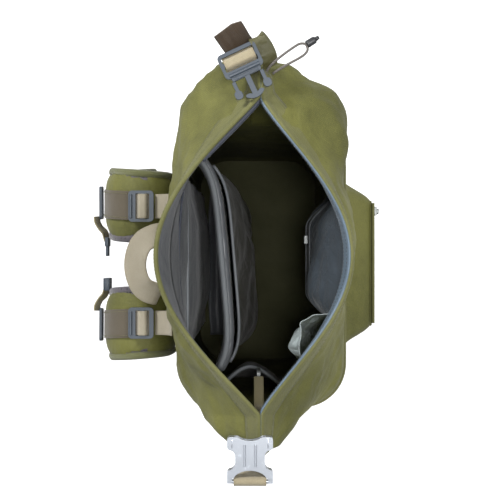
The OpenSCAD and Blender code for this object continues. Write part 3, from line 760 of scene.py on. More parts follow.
bmesh.ops.transform(toggle_mesh, verts=toggle_mesh.verts[:],
                    matrix=Matrix.Translation(Vector((206.9, -54.6, 560.2)) * MM)
                    @ Matrix.Rotation(math.radians(-58), 4, "Z")
                    @ Matrix.Rotation(math.radians(90), 4, "Y"))
toggle = piece("cord_toggle", toggle_mesh, "pack", PLASTIC_DARK, "bungee_toggle")
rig.cord(cord_piece, exit=cord_path[0], length=length_of(cord_path), diameter=0.0024,
        far_end="object", stiffness="medium", lay="taut", path=cord_path, with_pieces=[toggle])
print(f"shock cord {length_of(cord_path) * 1000:.0f} mm")

# %% [markdown]
# ## The surface of the pack
# The shell follows one rule. Below the seam it is a rounded box. Above it the outline changes
# step by step into the open rim, a lens whose two tips lie flat. Every sheet of the pack is
# this surface, moved in or out by the layers between.

# %% Outline and rim
BODY_W, BACK_D, FRONT_D, CORNER_R, BODY_H, WALL_T = 300, 76, 100, 45, 430, 2.4
RIM_H, RIM_HALF, RIM_DROOP, MOUTH_BACK, MOUTH_FRONT = 580, 185, 22, 97, 84
TIP_Y, TIP_GAP, MOUTH_MID, MOUTH_HALF, SEAM_Z = -10, 2.6, 10, 152, 430.2


def smooth(x):
    x = max(0.0, min(1.0, x))
    return x * x * (3 - 2 * x)


def plateau(x, e):
    return smooth(min(x, 1 - x) / e)


def share(v):
    q = (v % 1) * 4
    return q if q < 1 else 2 - q if q < 2 else q - 2 if q < 3 else 4 - q


def right_side(v):
    return v % 1 < 0.25 or v % 1 > 0.75


def body_xy(v):
    """Outline of the body at v, going once round from the right seam towards the back"""
    back = v % 1 < 0.5
    depth = BACK_D if back else FRONT_D
    arc = math.pi * CORNER_R / 2
    side, flat = depth - CORNER_R, BODY_W / 2 - CORNER_R
    s = share(v) * (side + arc + flat)
    if s < side:
        x, y = BODY_W / 2, s
    elif s < side + arc:
        a = (s - side) / CORNER_R
        x, y = flat + CORNER_R * math.cos(a), side + CORNER_R * math.sin(a)
    else:
        x, y = flat - (s - side - arc), depth
    return Vector((x if right_side(v) else -x, y if back else -y))


def rim_x(v):
    return (1 if right_side(v) else -1) * RIM_HALF * (1 - share(v))


def rim_xy(v):
    x = rim_x(v)
    away = abs(x - MOUTH_MID)
    opening = math.cos(math.pi / 2 * away / MOUTH_HALF) if away < MOUTH_HALF else 0
    least = min(TIP_GAP, 0.2 + share(v) * 60)
    if v % 1 < 0.5:
        return Vector((x, TIP_Y + max(least, MOUTH_BACK * opening ** 1.1)))
    return Vector((x, TIP_Y - max(least, MOUTH_FRONT * opening ** 1.25)))


def rim_z(v):
    return RIM_H - RIM_DROOP * (abs(rim_x(v)) / RIM_HALF) ** 2.2


def rise(v, z):
    return 0.0 if z <= SEAM_Z else min(1.0, (z - SEAM_Z) / (rim_z(v) - SEAM_Z)) ** 1.15


def flare(v, s):
    """Above the seam the cloth stands out at both ends, and comes back in at the rim"""
    q, g, back = share(v), 16 * s * s * (1 - s) * (1 - s), v % 1 < 0.5
    side, reach = (1, 0.55) if back else (-1, 0.64)
    if right_side(v):
        return Vector((34 * g * smooth((reach - q) / 0.4), side * (20 if back else 28) * g
                       * smooth(q / 0.06) * smooth((reach - q) / 0.3)))
    return Vector((-8 * g * smooth((0.45 - q) / 0.3),
                   side * 21 * g * smooth(q / 0.05) * smooth((0.45 - q) / 0.35)))


def skin_xy(v, z):
    s = rise(v, z)
    return body_xy(v) * (1 - s) + rim_xy(v) * s + flare(v, s)


def wall(v, z, off=0.0):
    """A point of the shell in metres, moved off millimetres into the pack"""
    t = (skin_xy(v + 0.004, z) - skin_xy(v - 0.004, z)).normalized()
    p = skin_xy(v, z) - Vector((t.y, -t.x)) * off
    return Vector((p.x, p.y, z)) * MM


def collar_wall(v, z, off=0.0):
    """The same for the collar, whose two halves stay on their own side of the tips' line"""
    p = wall(v, z, off)
    line = TIP_Y * rise(v, z) * MM
    p.y = max(p.y, line + 0.15 * MM) if v % 1 < 0.5 else min(p.y, line - 0.15 * MM)
    return p


def round_length(v0, v1, z=300, steps=40):
    """Length in metres round the shell at one height"""
    return length_of([wall(v0 + (v1 - v0) * i / steps, z) for i in range(steps + 1)])


def from_axis(point):
    return Vector((point.x, point.y + 0.01, 0))


BACK_EDGE = 0.25 * (31 + math.pi * 22.5) / (31 + math.pi * 22.5 + 105)
FRONT_EDGE = 0.25 * (55 + math.pi * 22.5) / (55 + math.pi * 22.5 + 105)
print(f"rim {2 * RIM_HALF} mm flat, body outline {round_length(0, 1) * 1000:.0f} mm round")


# %% Creases
def fold_noise(point, scale, seed):
    """Soft folds with a sharper ridge in them, about -1 to 1"""
    q = Vector((point.x * scale[0], point.y * scale[1], point.z * scale[2]))
    q += Vector((seed * 7.31, seed * 3.17, seed * 5.53))
    ridge = 1 - 2 * abs(noise.noise(q * 2.1 + Vector((3.1, 0, 0)))) * 1.6
    return 0.8 * noise.noise(q) * 1.6 + 0.2 * ridge


def crease(bm, depth, scale, seed, room=None, lean=-0.35, least=-1.0):
    """Moves points along their normals by soft folds; room limits it where cloth is held, and
    no point goes further back than least"""
    moves = []
    for vert in bm.verts:
        free = room(vert.co) if room else 1.0
        step = (fold_noise(vert.co, scale, seed) + lean) * depth * free
        moves.append(vert.normal * max(step, least))
    for vert, move in zip(bm.verts, moves):
        vert.co += move
    bm.normal_update()


print("creases ready")


# %% Stitches
def stitch_row(name, path, body, material, pitch=3.4, size=(2.5, 0.7, 0.5), normal=None):
    """A row of short stitches along a path, each a small rounded grain of thread"""
    bm = bmesh.new()
    total = length_of(path) / MM
    count = max(2, int(total / pitch))
    steps = [0.0]
    for a, b in zip(path, path[1:]):
        steps.append(steps[-1] + (b - a).length)
    k = 0
    for i in range(count):
        want = (i + 0.5) / count * steps[-1]
        while k < len(path) - 2 and steps[k + 1] < want:
            k += 1
        a, b = path[k], path[k + 1]
        at = a.lerp(b, (want - steps[k]) / max(1e-9, steps[k + 1] - steps[k]))
        ahead = (b - a).normalized()
        out = normal(at) if callable(normal) else Vector(normal or (0, 0, 1))
        across = ahead.cross(out)
        across = across.normalized() if across.length > 1e-5 else ahead.orthogonal().normalized()
        out = across.cross(ahead)
        frame_matrix = Matrix((
            (ahead.x, across.x, out.x, at.x), (ahead.y, across.y, out.y, at.y),
            (ahead.z, across.z, out.z, at.z), (0, 0, 0, 1)))
        grain = Matrix.Diagonal((size[0] / 2 * MM, size[1] / 2 * MM, size[2] / 2 * MM, 1))
        bmesh.ops.create_icosphere(bm, subdivisions=1, radius=1.0, matrix=frame_matrix @ grain)
    return piece(name, bm, body, material)


print("stitches ready")

# %% [markdown]
# ## Shell
# Four panels of coated canvas make the body, sewn together with a corded seam at each upright
# edge, and two collar halves carry on up to the rim. The cloth is tight at its seams and
# creases between them, so the folds fade out towards every sewn edge.


# %% Body panels
def body_panel(name, v0, v1, seed):
    z0, z1 = 4.2, BODY_H
    width, height = round_length(v0, v1), (z1 - z0) * MM
    bm = bend_grid(64, 80, lambda u, w: wall(v0 + (v1 - v0) * u, z0 + (z1 - z0) * w),
                   (width, height))
    face_outward(bm, from_axis)
    middle = [wall((v0 + v1) / 2, 200), wall(v0, 200), wall(v1, 200)]
    half = max((middle[0] - middle[1]).length, (middle[0] - middle[2]).length)

    def room(p):
        edge = min(abs(p.z - z0 * MM), abs(p.z - z1 * MM)) / 0.05
        side = (half - abs((Vector((p.x, p.y, 0.2)) - middle[0]).length)) / 0.03
        return smooth(min(edge, max(0.0, side)))

    crease(bm, 2.2 * MM, (11, 11, 7), seed, room)
    return piece(name, bm, "pack", CANVAS, name, thick=WALL_T * MM, offset=-1)


body_panel("front_panel", 0.5 + FRONT_EDGE + 0.0002, 1 - FRONT_EDGE - 0.0002, 1)
body_panel("back_panel", BACK_EDGE + 0.0002, 0.5 - BACK_EDGE - 0.0002, 2)
body_panel("side_panel_right", -FRONT_EDGE + 0.0002, BACK_EDGE - 0.0002, 3)
body_panel("side_panel_left", 0.5 - BACK_EDGE + 0.0002, 0.5 + FRONT_EDGE - 0.0002, 4)
print("four panels")

# %% Corded seams and their stitching
for number, v in enumerate((BACK_EDGE, 0.5 - BACK_EDGE, 0.5 + FRONT_EDGE, 1 - FRONT_EDGE)):
    upright = [wall(v, 5 + i * 17, -0.3) for i in range(26)]
    piece(f"corded_seam_{number}", tube_mesh(upright, 1.6 * MM, 8, (1, 0.3, 0)), "pack",
          CANVAS_HEM)
    for side in (-0.0045, 0.0045):
        row = [wall(v + side, 8 + i * 17, -0.25) for i in range(25)]
        stitch_row(f"seam_stitch_{number}_{'ab'[side > 0]}", row, "pack", THREAD,
                   normal=from_axis)
foot = [wall(i / 160, SEAM_Z, -0.4) for i in range(161)]
piece("collar_seam", tube_mesh(foot, 1.5 * MM, 8), "pack", CANVAS_HEM)
for drop in (-5, 5):
    stitch_row(f"collar_seam_stitch_{'ab'[drop > 0]}",
               [wall(i / 160, SEAM_Z + drop, -0.25) for i in range(161)], "pack", THREAD,
               normal=from_axis)
print("seams sewn")

# %% Base
outline = [body_xy(i / 96) for i in range(96)]
base = bmesh.new()
bmesh.ops.contextual_create(base, geom=[base.verts.new((p.x * MM, p.y * MM, 0)) for p in outline])
raised = bmesh.ops.extrude_face_region(base, geom=base.faces[:])
bmesh.ops.translate(base, vec=(0, 0, 4 * MM),
                    verts=[g for g in raised["geom"] if isinstance(g, bmesh.types.BMVert)])
bmesh.ops.recalc_face_normals(base, faces=base.faces[:])
rims = [e for e in base.edges if abs(e.verts[0].co.z - e.verts[1].co.z) < 1e-6]
bmesh.ops.bevel(base, geom=rims, offset=1.4 * MM, affect="EDGES", segments=3, profile=0.5,
                material=-1)
cloth = base.loops.layers.uv.new("cloth")
for face in base.faces:
    for loop in face.loops:
        loop[cloth].uv = (loop.vert.co.x, loop.vert.co.y + loop.vert.co.z)
piece("base_panel", base, "pack", BASE_CLOTH, "base_panel")
print("base made")

# %% Collar
def collar_room(p):
    """Folds need space: none at the seam and rim, none where the two halves lie together"""
    low = (p.z - SEAM_Z * MM) / 0.04
    high = (0.575 - p.z) / 0.03
    apart = (abs(p.y - TIP_Y * MM * max(0, (p.z - 0.43) / 0.13)) - 0.006) / 0.03
    return smooth(min(low, high, apart))


def collar_half(name, v0, seed):
    def place(u, w):
        v = v0 + 0.0001 + 0.4998 * u
        return collar_wall(v, SEAM_Z + (rim_z(v) - SEAM_Z) * w)

    bm = bend_grid(170, 60, place, (0.40, 0.15))
    face_outward(bm, from_axis)
    # Long folds run down from the rim's tips, and shorter ones cross them
    crease(bm, 9.0 * MM, (10, 10, 14), seed, collar_room, -0.12, -0.6 * MM)
    crease(bm, 4.0 * MM, (26, 26, 20), seed + 5, collar_room, -0.1, -0.3 * MM)
    return piece(name, bm, "pack", CANVAS, name, thick=WALL_T * MM, offset=-1)


collar_half("collar_back", 0.0, 11)
collar_half("collar_front", 0.5, 14)
print("collar made")


# %% Rim hems
def rim_strip(name, v0, v1, section, material, columns=150, stands_for=(), length=0.38,
              rounding=0):
    """A strip that follows the rim; section gives its (inward, downward) steps across"""
    def place(u, w):
        v = v0 + (v1 - v0) * u
        at = w * (len(section) - 1)
        i = min(int(at), len(section) - 2)
        off, drop = [a + (b - a) * (at - i) for a, b in zip(section[i], section[i + 1])]
        return collar_wall(v, rim_z(v) - drop, off)

    width = sum(math.dist(a, b) for a, b in zip(section, section[1:])) * MM
    bm = bend_grid(columns, (len(section) - 1) * 2, place, (length, width))
    bmesh.ops.recalc_face_normals(bm, faces=bm.faces[:])
    return piece(name, bm, "pack", material, stands_for, thick=0.5 * MM, offset=1)


HEM = [(-0.6, 17), (-0.7, 10), (-0.7, 3), (-0.3, -0.4), (0.7, -1.2), (1.8, -1.2), (2.8, -0.2),
       (2.9, 4)]
rim_strip("rim_hem_back", 0.004, 0.496, HEM, CANVAS_HEM)
rim_strip("rim_hem_front", 0.504, 0.996, HEM, CANVAS_HEM)
for half, v0 in (("back", 0.0), ("front", 0.5)):
    for row, drop in enumerate((3.5, 14.5)):
        stitch_row(f"rim_stitch_{half}_{row}",
                   [collar_wall(v0 + 0.01 + 0.48 * i / 150,
                                rim_z(v0 + 0.01 + 0.48 * i / 150) - drop, -1.4)
                    for i in range(151)], "pack", THREAD, normal=from_axis)
print("rim hemmed")

# %% Bound tapes inside the rim
LEANING = [(2.6, -0.8), (3.4, -1.0), (4.8, 2), (6.2, 6), (7.4, 11), (8.0, 15)]
rim_strip("front_tape", 0.508, 0.992, LEANING, TAPE_BLUE, stands_for="front_stiffener")
FLAT = [(2.9, 2), (3.4, 4), (3.6, 9), (3.6, 15), (4.6, 30), (6.2, 52)]
rim_strip("back_tape", 0.055, 0.445, FLAT, SATIN, stands_for="back_stiffener")
corner_roll = [collar_wall(0.006 + 0.11 * i / 30, rim_z(0.006 + 0.11 * i / 30) - 6,
                           4.0 + 3 * math.sin(math.pi * i / 30)) for i in range(31)]
piece("corner_roll", tube_mesh(corner_roll, 2.6 * MM, 12), "pack", TAPE_DARK)
for drop in (2.5, 12.5):
    stitch_row(f"front_tape_stitch_{int(drop)}",
               [collar_wall(0.51 + 0.48 * i / 150, rim_z(0.51 + 0.48 * i / 150) - drop,
                            5.4 + drop * 0.22) for i in range(151)], "pack", THREAD_DARK,
               normal=lambda p: -from_axis(p))
print("tapes sewn in")

# %% [markdown]
# ## Inside the pack
# A padded lining covers the back, a padded sleeve for a laptop hangs in front of it, and a thin
# pocket for papers hangs in front of that. A zip pocket hangs inside the front, with its belly
# below the zip, and a small open pocket fills the left end.


# %% Padded lining of the back
def lining_face(u, w):
    z = 14 + 531 * w
    swell = 9 * plateau(u, 0.3) * plateau(min(1, (z - 14) / 430), 0.2)
    return wall(0.14 + 0.22 * u, z, 3.2 + 4.8 * smooth((490 - z) / 60) + 1.5 + swell)


lining = bend_grid(50, 120, lining_face, (0.20, 0.53))
face_outward(lining, lambda p: -from_axis(p))
crease(lining, 2.6 * MM, (6, 6, 26), 21, lambda p: smooth((0.53 - p.z) / 0.05), -0.1,
       -1.2 * MM)
lining_piece = piece("back_lining", lining, "pack", SATIN, "back_lining", thick=1.4 * MM,
                     offset=-1)
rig.padded(lining_piece, fill=0.5)
for number, (z, radius, finish) in enumerate(((432, 1.6, SATIN_LIGHT), (470, 1.3, TAPE_DARK))):
    ridge = [lining_face(0.04 + 0.92 * i / 40, (z - 14) / 531) for i in range(41)]
    piece(f"lining_piping_{number}", tube_mesh(ridge, radius * MM, 10), "pack", finish)
print("lining made")


# %% Hanging panels
def hang_y(x, z, half, y_mid, slope, belly, top):
    """How far back a hanging panel lies: slanted, with its ends curved back and a belly"""
    end = (abs(x) / half) ** 6
    return y_mid + slope * x + 16 * end - belly * (1 - end) * smooth((top - z) / 150)


def hanging_panel(half, y_mid, slope, belly, low, top, columns=70, rows=60):
    return bend_grid(columns, rows, lambda u, w: Vector((
        half * (2 * u - 1),
        hang_y(half * (2 * u - 1), low + (top - low) * w, half, y_mid, slope, belly, top),
        low + (top - low) * w)) * MM, (2 * half * MM, (top - low) * MM))


sleeve = hanging_panel(115, 28.6, 0.09, 0, 17, 409)
face_outward(sleeve, (0, -1, 0))
crease(sleeve, 1.4 * MM, (14, 14, 9), 31, lambda p: smooth((0.40 - p.z) / 0.03))
sleeve_piece = piece("laptop_sleeve", sleeve, "pack", SATIN, "laptop_sleeve", thick=11.5 * MM,
                     offset=0, rounding=4 * MM)
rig.padded(sleeve_piece, fill=0.6)


def sleeve_edge(i, drop=0.0, forward=0.0):
    x = -113 + 226 * i / 60
    return Vector((x, hang_y(x, 409, 116, 30, 0.09, 0, 412) + forward, 409 - drop)) * MM


piece("sleeve_binding", tube_mesh([sleeve_edge(i) for i in range(61)], 3.3 * MM, 16,
                                  flat=0.8), "pack", SATIN_LIGHT)
stitch_row("sleeve_stitch", [sleeve_edge(i, 6.5, -3.6) for i in range(61)], "pack",
           THREAD_DARK, normal=(0, -1, 0))
pocket_floor = bend_grid(60, 10, lambda u, w: Vector((
    -110 + 220 * u, 36 + (22 + 3 * plateau(u, 0.2)) * w, 21 - 4 * plateau(w, 0.5))) * MM,
    (0.22, 0.025))
face_outward(pocket_floor, (0, 0, 1))
piece("sleeve_floor", pocket_floor, "pack", SATIN, thick=1.5 * MM)
print("sleeve made")

# %% Document pocket
papers = hanging_panel(109, 17, 0.085, 22, 31, 390, 90, 80)
face_outward(papers, (0, -1, 0))
crease(papers, 5.0 * MM, (12, 12, 9), 41, lambda p: smooth((0.388 - p.z) / 0.04))
for vert in papers.verts:
    # Slack folds run down across the pocket at a slant
    slant = math.sin((vert.co.x * 0.8 + vert.co.z) * 105 + 2 * noise.noise(vert.co * 16))
    vert.co.y += 1.5 * MM * slant * smooth((0.388 - vert.co.z) / 0.03)
papers_piece = piece("document_pocket", papers, "pack", LINING, "document_pocket",
                     thick=1.0 * MM, offset=0)
edge = [Vector((x, hang_y(x, 390, 110, 17, 0.085, 22, 392), 390.5)) * MM
        for x in [-108 + 216 * i / 60 for i in range(61)]]
piece("document_piping", tube_mesh(edge, 1.7 * MM, 10), "pack", SATIN_LIGHT)
print("document pocket made")


# %% Zip pocket inside the front
def hang_shape(f):
    return smooth(f / 0.35) if f < 0.35 else math.cos(math.pi / 2 * (f - 0.35) / 0.65)


def inner_face(u, w, off=0.0):
    belly = 34 * plateau(u, 0.28) * hang_shape(w)
    return wall(0.67 + 0.17 * u, 335 + 205 * w, 3.4 + belly + off)


inner = bend_grid(90, 90, lambda u, w: inner_face(u, w, 0.8), (0.20, 0.22))
face_outward(inner, lambda p: -from_axis(p))
crease(inner, 5.5 * MM, (17, 17, 22), 51,
       lambda p: smooth(min((p.z - 0.335) / 0.03, (0.54 - p.z) / 0.03,
                            (abs(p.z - 0.425) - 0.014) / 0.02)), 0.2, -1.2 * MM)
piece("inner_pocket", inner, "pack", SLATE, "inner_pocket", thick=0.9 * MM, offset=0)


def inner_strip(name, w, height, off, material, thick, u0=0.12, u1=0.9):
    """A strip sewn along the pocket at height share w"""
    bm = bend_grid(60, 4, lambda a, b: inner_face(u0 + (u1 - u0) * a, w + (b - 0.5) * height, off),
                   (0.13, height * 0.2))
    face_outward(bm, lambda p: -from_axis(p))
    return piece(name, bm, "pack", material, thick=thick, offset=1)


inner_strip("inner_zip_tape", 0.44, 0.085, 1.3, ZIP_TAPE, 0.4 * MM)
inner_strip("inner_zip_binding", 0.375, 0.030, 1.9, SATIN_LIGHT, 0.9 * MM)
inner_strip("inner_zip_binding_top", 0.505, 0.030, 1.9, SATIN_LIGHT, 0.9 * MM)


def zip_teeth(name, path, body, material, across, out, pitch=1.7, size=(1.0, 3.6, 1.2)):
    """The coil of a zip: one small rounded tooth after another, leaning left and right"""
    bm = bmesh.new()
    count = int(length_of(path) / MM / pitch)
    for i in range(count):
        at, ahead = along(path, (i + 0.5) / count)
        wide = across(at) if callable(across) else Vector(across)
        up = out(at) if callable(out) else Vector(out)
        lean = Matrix.Rotation(math.radians(14 if i % 2 else -14), 4, up)
        axes = Matrix((
            (ahead.x, wide.x, up.x, 0), (ahead.y, wide.y, up.y, 0), (ahead.z, wide.z, up.z, 0),
            (0, 0, 0, 1)))
        grain = Matrix.Diagonal((size[0] / 2 * MM, size[1] / 2 * MM, size[2] / 2 * MM, 1))
        bmesh.ops.create_icosphere(bm, subdivisions=1, radius=1.0,
                                   matrix=Matrix.Translation(at) @ lean @ axes @ grain)
    return piece(name, bm, body, material)


zip_teeth("inner_zip_coil", [inner_face(0.14 + 0.74 * i / 60, 0.44, 1.9) for i in range(61)],
          "pack", METAL, (0, 0, 1), lambda p: -from_axis(p).normalized(), size=(1.0, 3.6, 0.9))
print("inner pocket made")


# %% Pale crinkled pocket at the front left corner
def pale_face(u, w):
    belly = 44 * plateau(u, 0.4) * smooth(w * 1.4) * (0.8 + 0.2 * math.sin(w * 9 + u * 5))
    return wall(0.618 + 0.082 * u, 375 + 125 * w, 8 + belly)


pale = bend_grid(80, 80, pale_face, (0.09, 0.13))
face_outward(pale, lambda p: -from_axis(p))
crease(pale, 6.0 * MM, (34, 34, 40), 61, lambda p: smooth((p.z - 0.375) / 0.02), 0.2,
       -2.0 * MM)
piece("crinkled_pocket", pale, "pack", PALE, thick=0.7 * MM, offset=0)
print("crinkled pocket made")


# %% Stash pocket and its bound arch
def stash_face(u, w, off=0.7):
    return wall(0.435 + 0.13 * u, 220 + 180 * w,
                3 + off + 34 * plateau(u, 0.5) * smooth(w * 1.3))


stash = bend_grid(60, 60, stash_face, (0.13, 0.18))
face_outward(stash, (1, 0, 0))
crease(stash, 2.4 * MM, (22, 22, 16), 71,
       lambda p: smooth(min((0.40 - p.z) / 0.02, (p.z - 0.22) / 0.02)), 0.1, -1.0 * MM)
piece("stash_pocket", stash, "pack", LINING, "stash_pocket", thick=1.0 * MM, offset=0)
piece("stash_binding", tube_mesh([stash_face(i / 40, 1.0) for i in range(41)], 2.2 * MM, 12),
      "pack", SATIN_LIGHT)
print("stash pocket made")

# %% [markdown]
# ## Webbing
# A strap is a grid as wide as the webbing, laid along a path. The bevel rounds its two woven
# edges, and a bar of zigzag thread marks each place where it is sewn down.


# %% Lay webbing along a path
def strap_mesh(path, across, width, columns=8, crown=0.0):
    """A grid along the path; across is a direction, or a function of the share of the way"""
    def place(u, w):
        point, ahead = along(path, w)
        wide = Vector(across(w) if callable(across) else across)
        wide = (wide - ahead * wide.dot(ahead)).normalized()
        up = ahead.cross(wide)
        side = 2 * u - 1
        return point + wide * side * width / 2 + up * crown * (1 - side * side)

    return bend_grid(columns, len(path) - 1, place, (width, length_of(path)))


def strap(name, points, across, width, body, material, thick=1.6, steps=6, mirrored=False,
          stands_for=(), crown=0.0):
    path = curve_through(points, steps) if not isinstance(points[0], Vector) else points
    bm = strap_mesh(path, across, width * MM, crown=crown)
    if mirrored:
        mirror_x(bm)
    return piece(name, bm, body, material, stands_for, thick=thick * MM, offset=0,
                 rounding=0.35 * MM)


def bar_tack(name, at, along_dir, out_dir, width, body, material=None, rows=9, height=9.0):
    """A box of zigzag stitches where webbing is sewn down"""
    along_dir, out_dir = Vector(along_dir).normalized(), Vector(out_dir).normalized()
    side = along_dir.cross(out_dir).normalized()
    path = []
    for i in range(rows * 2 + 1):
        step = (i / (rows * 2) - 0.5) * height
        path.append(Vector(at) * MM + along_dir * step * MM
                    + side * (width / 2 if i % 2 else -width / 2) * MM)
    return stitch_row(name, path, body, material or THREAD_TAN, pitch=3.0,
                      size=(2.9, 0.6, 0.5), normal=out_dir)


print("webbing helpers ready")

# %% Key strap inside the mouth
strap("key_strap", [[-150, -9, 486], [-138, -9, 478], [-124, -9, 464], [-116, -9, 456]],
      (0, 1, 0), 10, "pack", WEB_NARROW, stands_for="key_strap")
bar_tack("key_strap_tack", (-143, -9, 482.6), (0.8, 0, -0.6), (0.6, 0, 0.8), 8, "pack")

# %% Grab handle
HALF_LOOP = [[30, 80.2, 452], [30, 85, 463], [30, 95, 471], [25, 107, 474], [15, 114, 474]]
loop_points = HALF_LOOP + [[0, 117, 473]] + [[-x, y, z] for x, y, z in reversed(HALF_LOOP)]
handle_path = curve_through(loop_points, 5)


def handle_across(w):
    """Along X where the loop is sewn, and level towards its middle"""
    n = 30 * min(w, 1 - w)
    turn = smooth(n / 8)
    ahead = along(handle_path, w)[1]
    level = Vector((0, 0.1, 1)).cross(ahead)
    tilted = level * math.cos(0.3) + ahead.cross(level) * math.sin(0.3)
    return Vector((1, 0, 0)) * (1 - turn) - tilted * turn


strap("grab_handle", handle_path, handle_across, 25, "handle", WEB_TAN, 1.7,
      stands_for="grab_handle", crown=0.0012)
print("handle and key strap made")

# %% [markdown]
# ## Padded pieces
# The two long back pads, the lumbar pad and the shoulder pads are foam in air mesh. Each starts
# a little small, is remeshed, and swells as cloth under light pressure, so that its sides pull
# in between the corners as a sewn pad's do.


# %% Swell a pad as cloth
def swell(obj, limit, voxel=5, frames=20, pressure=4.0):
    """Remeshes the pad and lets pressure round it out; no point moves further than limit"""
    obj.modifiers.clear()
    remesh = obj.modifiers.new("remesh", "REMESH")
    remesh.mode = "VOXEL"
    remesh.voxel_size = voxel * MM
    remesh.use_smooth_shade = True
    bake(obj)
    before = [v.co.copy() for v in obj.data.vertices]
    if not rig.quick():
        cloth = obj.modifiers.new("cloth", "CLOTH")
        cloth.settings.use_pressure = True
        cloth.settings.uniform_pressure_force = pressure
        cloth.settings.effector_weights.gravity = 0
        cloth.settings.quality = 5
        cloth.point_cache.frame_start, cloth.point_cache.frame_end = 1, frames
        for number in range(1, frames + 1):
            bpy.context.scene.frame_set(number)
        bake(obj)
        bpy.context.scene.frame_set(1)
    for vert, start in zip(obj.data.vertices, before):
        move = vert.co - start
        if move.length > limit:
            vert.co = start + move * (limit / move.length)
    for polygon in obj.data.polygons:
        polygon.use_smooth = True
    return obj


def bake(obj):
    """Puts the modifiers' result into the mesh"""
    evaluated = obj.evaluated_get(bpy.context.evaluated_depsgraph_get())
    mesh = bpy.data.meshes.new_from_object(evaluated)
    obj.modifiers.clear()
    obj.data = mesh


def closed_pad(front, back):
    """Joins a front and a back grid, given as functions of (u, w), into one closed form"""
    bm = bend_grid(36, 60, front, (0.08, 0.3))
    other = bend_grid(36, 60, back, (0.08, 0.3))
    mesh = bpy.data.meshes.new("other side")
    other.to_mesh(mesh)
    other.free()
    bm.from_mesh(mesh)
    bpy.data.meshes.remove(mesh)
    bmesh.ops.bridge_loops(bm, edges=[e for e in bm.edges if e.is_boundary])
    bmesh.ops.recalc_face_normals(bm, faces=bm.faces[:])
    return bm


print("padding helpers ready")


# %% Pads on the back
def back_pad(name, v0, v1, z0, z1, depth, body="pack"):
    """One pad: a flat face on the shell and a crowned face towards the wearer"""
    def inset(u, w, off):
        u, w = 0.03 + 0.94 * u, 0.015 + 0.97 * w
        return wall(v0 + (v1 - v0) * u, z0 + (z1 - z0) * w, off)

    bm = closed_pad(lambda u, w: inset(u, w, -2 - depth * 0.85 * plateau(u, 0.35)
                                       * plateau(w, 0.12)),
                    lambda u, w: inset(u, w, -1.2))
    obj = piece(name, bm, body, AIR_MESH, name, levels=0)
    swell(obj, 1.6 * MM)
    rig.padded(obj, fill=0.8)
    subdivided = obj.modifiers.new("smooth", "SUBSURF")
    subdivided.levels = subdivided.render_levels = 1
    border = [wall(v0 + (v1 - v0) * u, z0 + (z1 - z0) * w, -2.6) for u, w in
              [(0.02 + 0.96 * i / 24, 0.01) for i in range(25)]
              + [(0.98, 0.01 + 0.98 * i / 60) for i in range(1, 61)]
              + [(0.98 - 0.96 * i / 24, 0.99) for i in range(1, 25)]
              + [(0.02, 0.99 - 0.98 * i / 60) for i in range(1, 60)]]
    piece(name + "_piping", tube_mesh(border + border[:1], 1.6 * MM, 8, (0.2, 1, 0.1)), body,
          WEB_OLIVE)
    return obj


back_pad("back_pad_right", 0.132, 0.234, 122, 385, 11)
back_pad("back_pad_left", 0.266, 0.368, 122, 385, 11)
back_pad("lumbar_pad", 0.16, 0.34, 34, 112, 13)
print("back pads made")

# %% [markdown]
# ## Shoulder straps
# Each padded strap is one closed form that crosses its hinge, so it bends between the pack and
# the strap body. Its outer edge is bound in olive tape and its inner edge in air mesh, and a
# brown facing carries the tan webbing of the buckles.

# %% Route of the padded strap
PAD_ROUTE = [[60, 83.2, 396], [60, 88, 425], [60, 102, 443], [61, 123, 447], [63, 142, 432],
             [66, 151, 400], [70, 152.5, 350], [78, 146, 285], [86, 134, 228], [92, 123, 186]]
pad_path = curve_through(PAD_ROUTE, 12)
STRAP_START, STRAP_END = (0.06, 0.084, 0.42), (0.06, 0.112, 0.42)


def pad_width(f):
    return 74 - 4 * (0.5 - f) if f < 0.5 else 74 - 40 * (f - 0.5)


def pad_point(u, w, off):
    """A point of the strap: u across it, w along it, off millimetres outward from its middle"""
    point, ahead = along(pad_path, w)
    wide = (Vector((1, 0, 0)) - ahead * ahead.x).normalized()
    out = wide.cross(ahead)
    return point + (wide * (u - 0.5) * pad_width(w) + out * off) * MM


def on_strap(obj, side, sign):
    """Bends the piece between the pack and the strap that starts on this side"""
    start, end = [(x * sign, y, z) for x, y, z in (STRAP_START, STRAP_END)]
    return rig.blend(obj, "pack", f"strap_{side}", start, end)


print(f"padded strap {length_of(pad_path) * 1000:.0f} mm")


# %% Padded straps
def strap_pad(side, sign):
    def face(direction):
        def place(u, w):
            thick = 1.2 + 4.0 * plateau(u, 0.3) ** 0.6 * min(1, plateau(w, 0.03) + 0.25)
            return pad_point(0.005 + 0.99 * u, 0.004 + 0.992 * w, direction * thick)
        return place

    bm = closed_pad(face(1), face(-1))
    if sign < 0:
        mirror_x(bm)
    obj = piece(f"shoulder_pad_{side}", bm, None, AIR_MESH, f"shoulder_pad_{side}")
    swell(obj, 1.2 * MM, voxel=4.5)
    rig.padded(obj, fill=0.8)
    # Canvas on the outer face, mesh on the wearer's side and round the edges
    obj.data.materials.append(CANVAS)
    for polygon in obj.data.polygons:
        middle = Vector((polygon.center.x * sign, polygon.center.y, polygon.center.z))
        at = min(range(0, len(pad_path)), key=lambda i: (pad_path[i] - middle).length)
        ahead = along(pad_path, at / (len(pad_path) - 1))[1]
        out = (Vector((1, 0, 0)) - ahead * ahead.x).normalized().cross(ahead)
        if (middle - pad_path[at]).dot(out) > 1.5 * MM:
            polygon.material_index = 1
    subdivided = obj.modifiers.new("smooth", "SUBSURF")
    subdivided.levels = subdivided.render_levels = 1
    return on_strap(obj, side, sign)


for side, sign in SIDES:
    strap_pad(side, sign)
print("padded straps made")


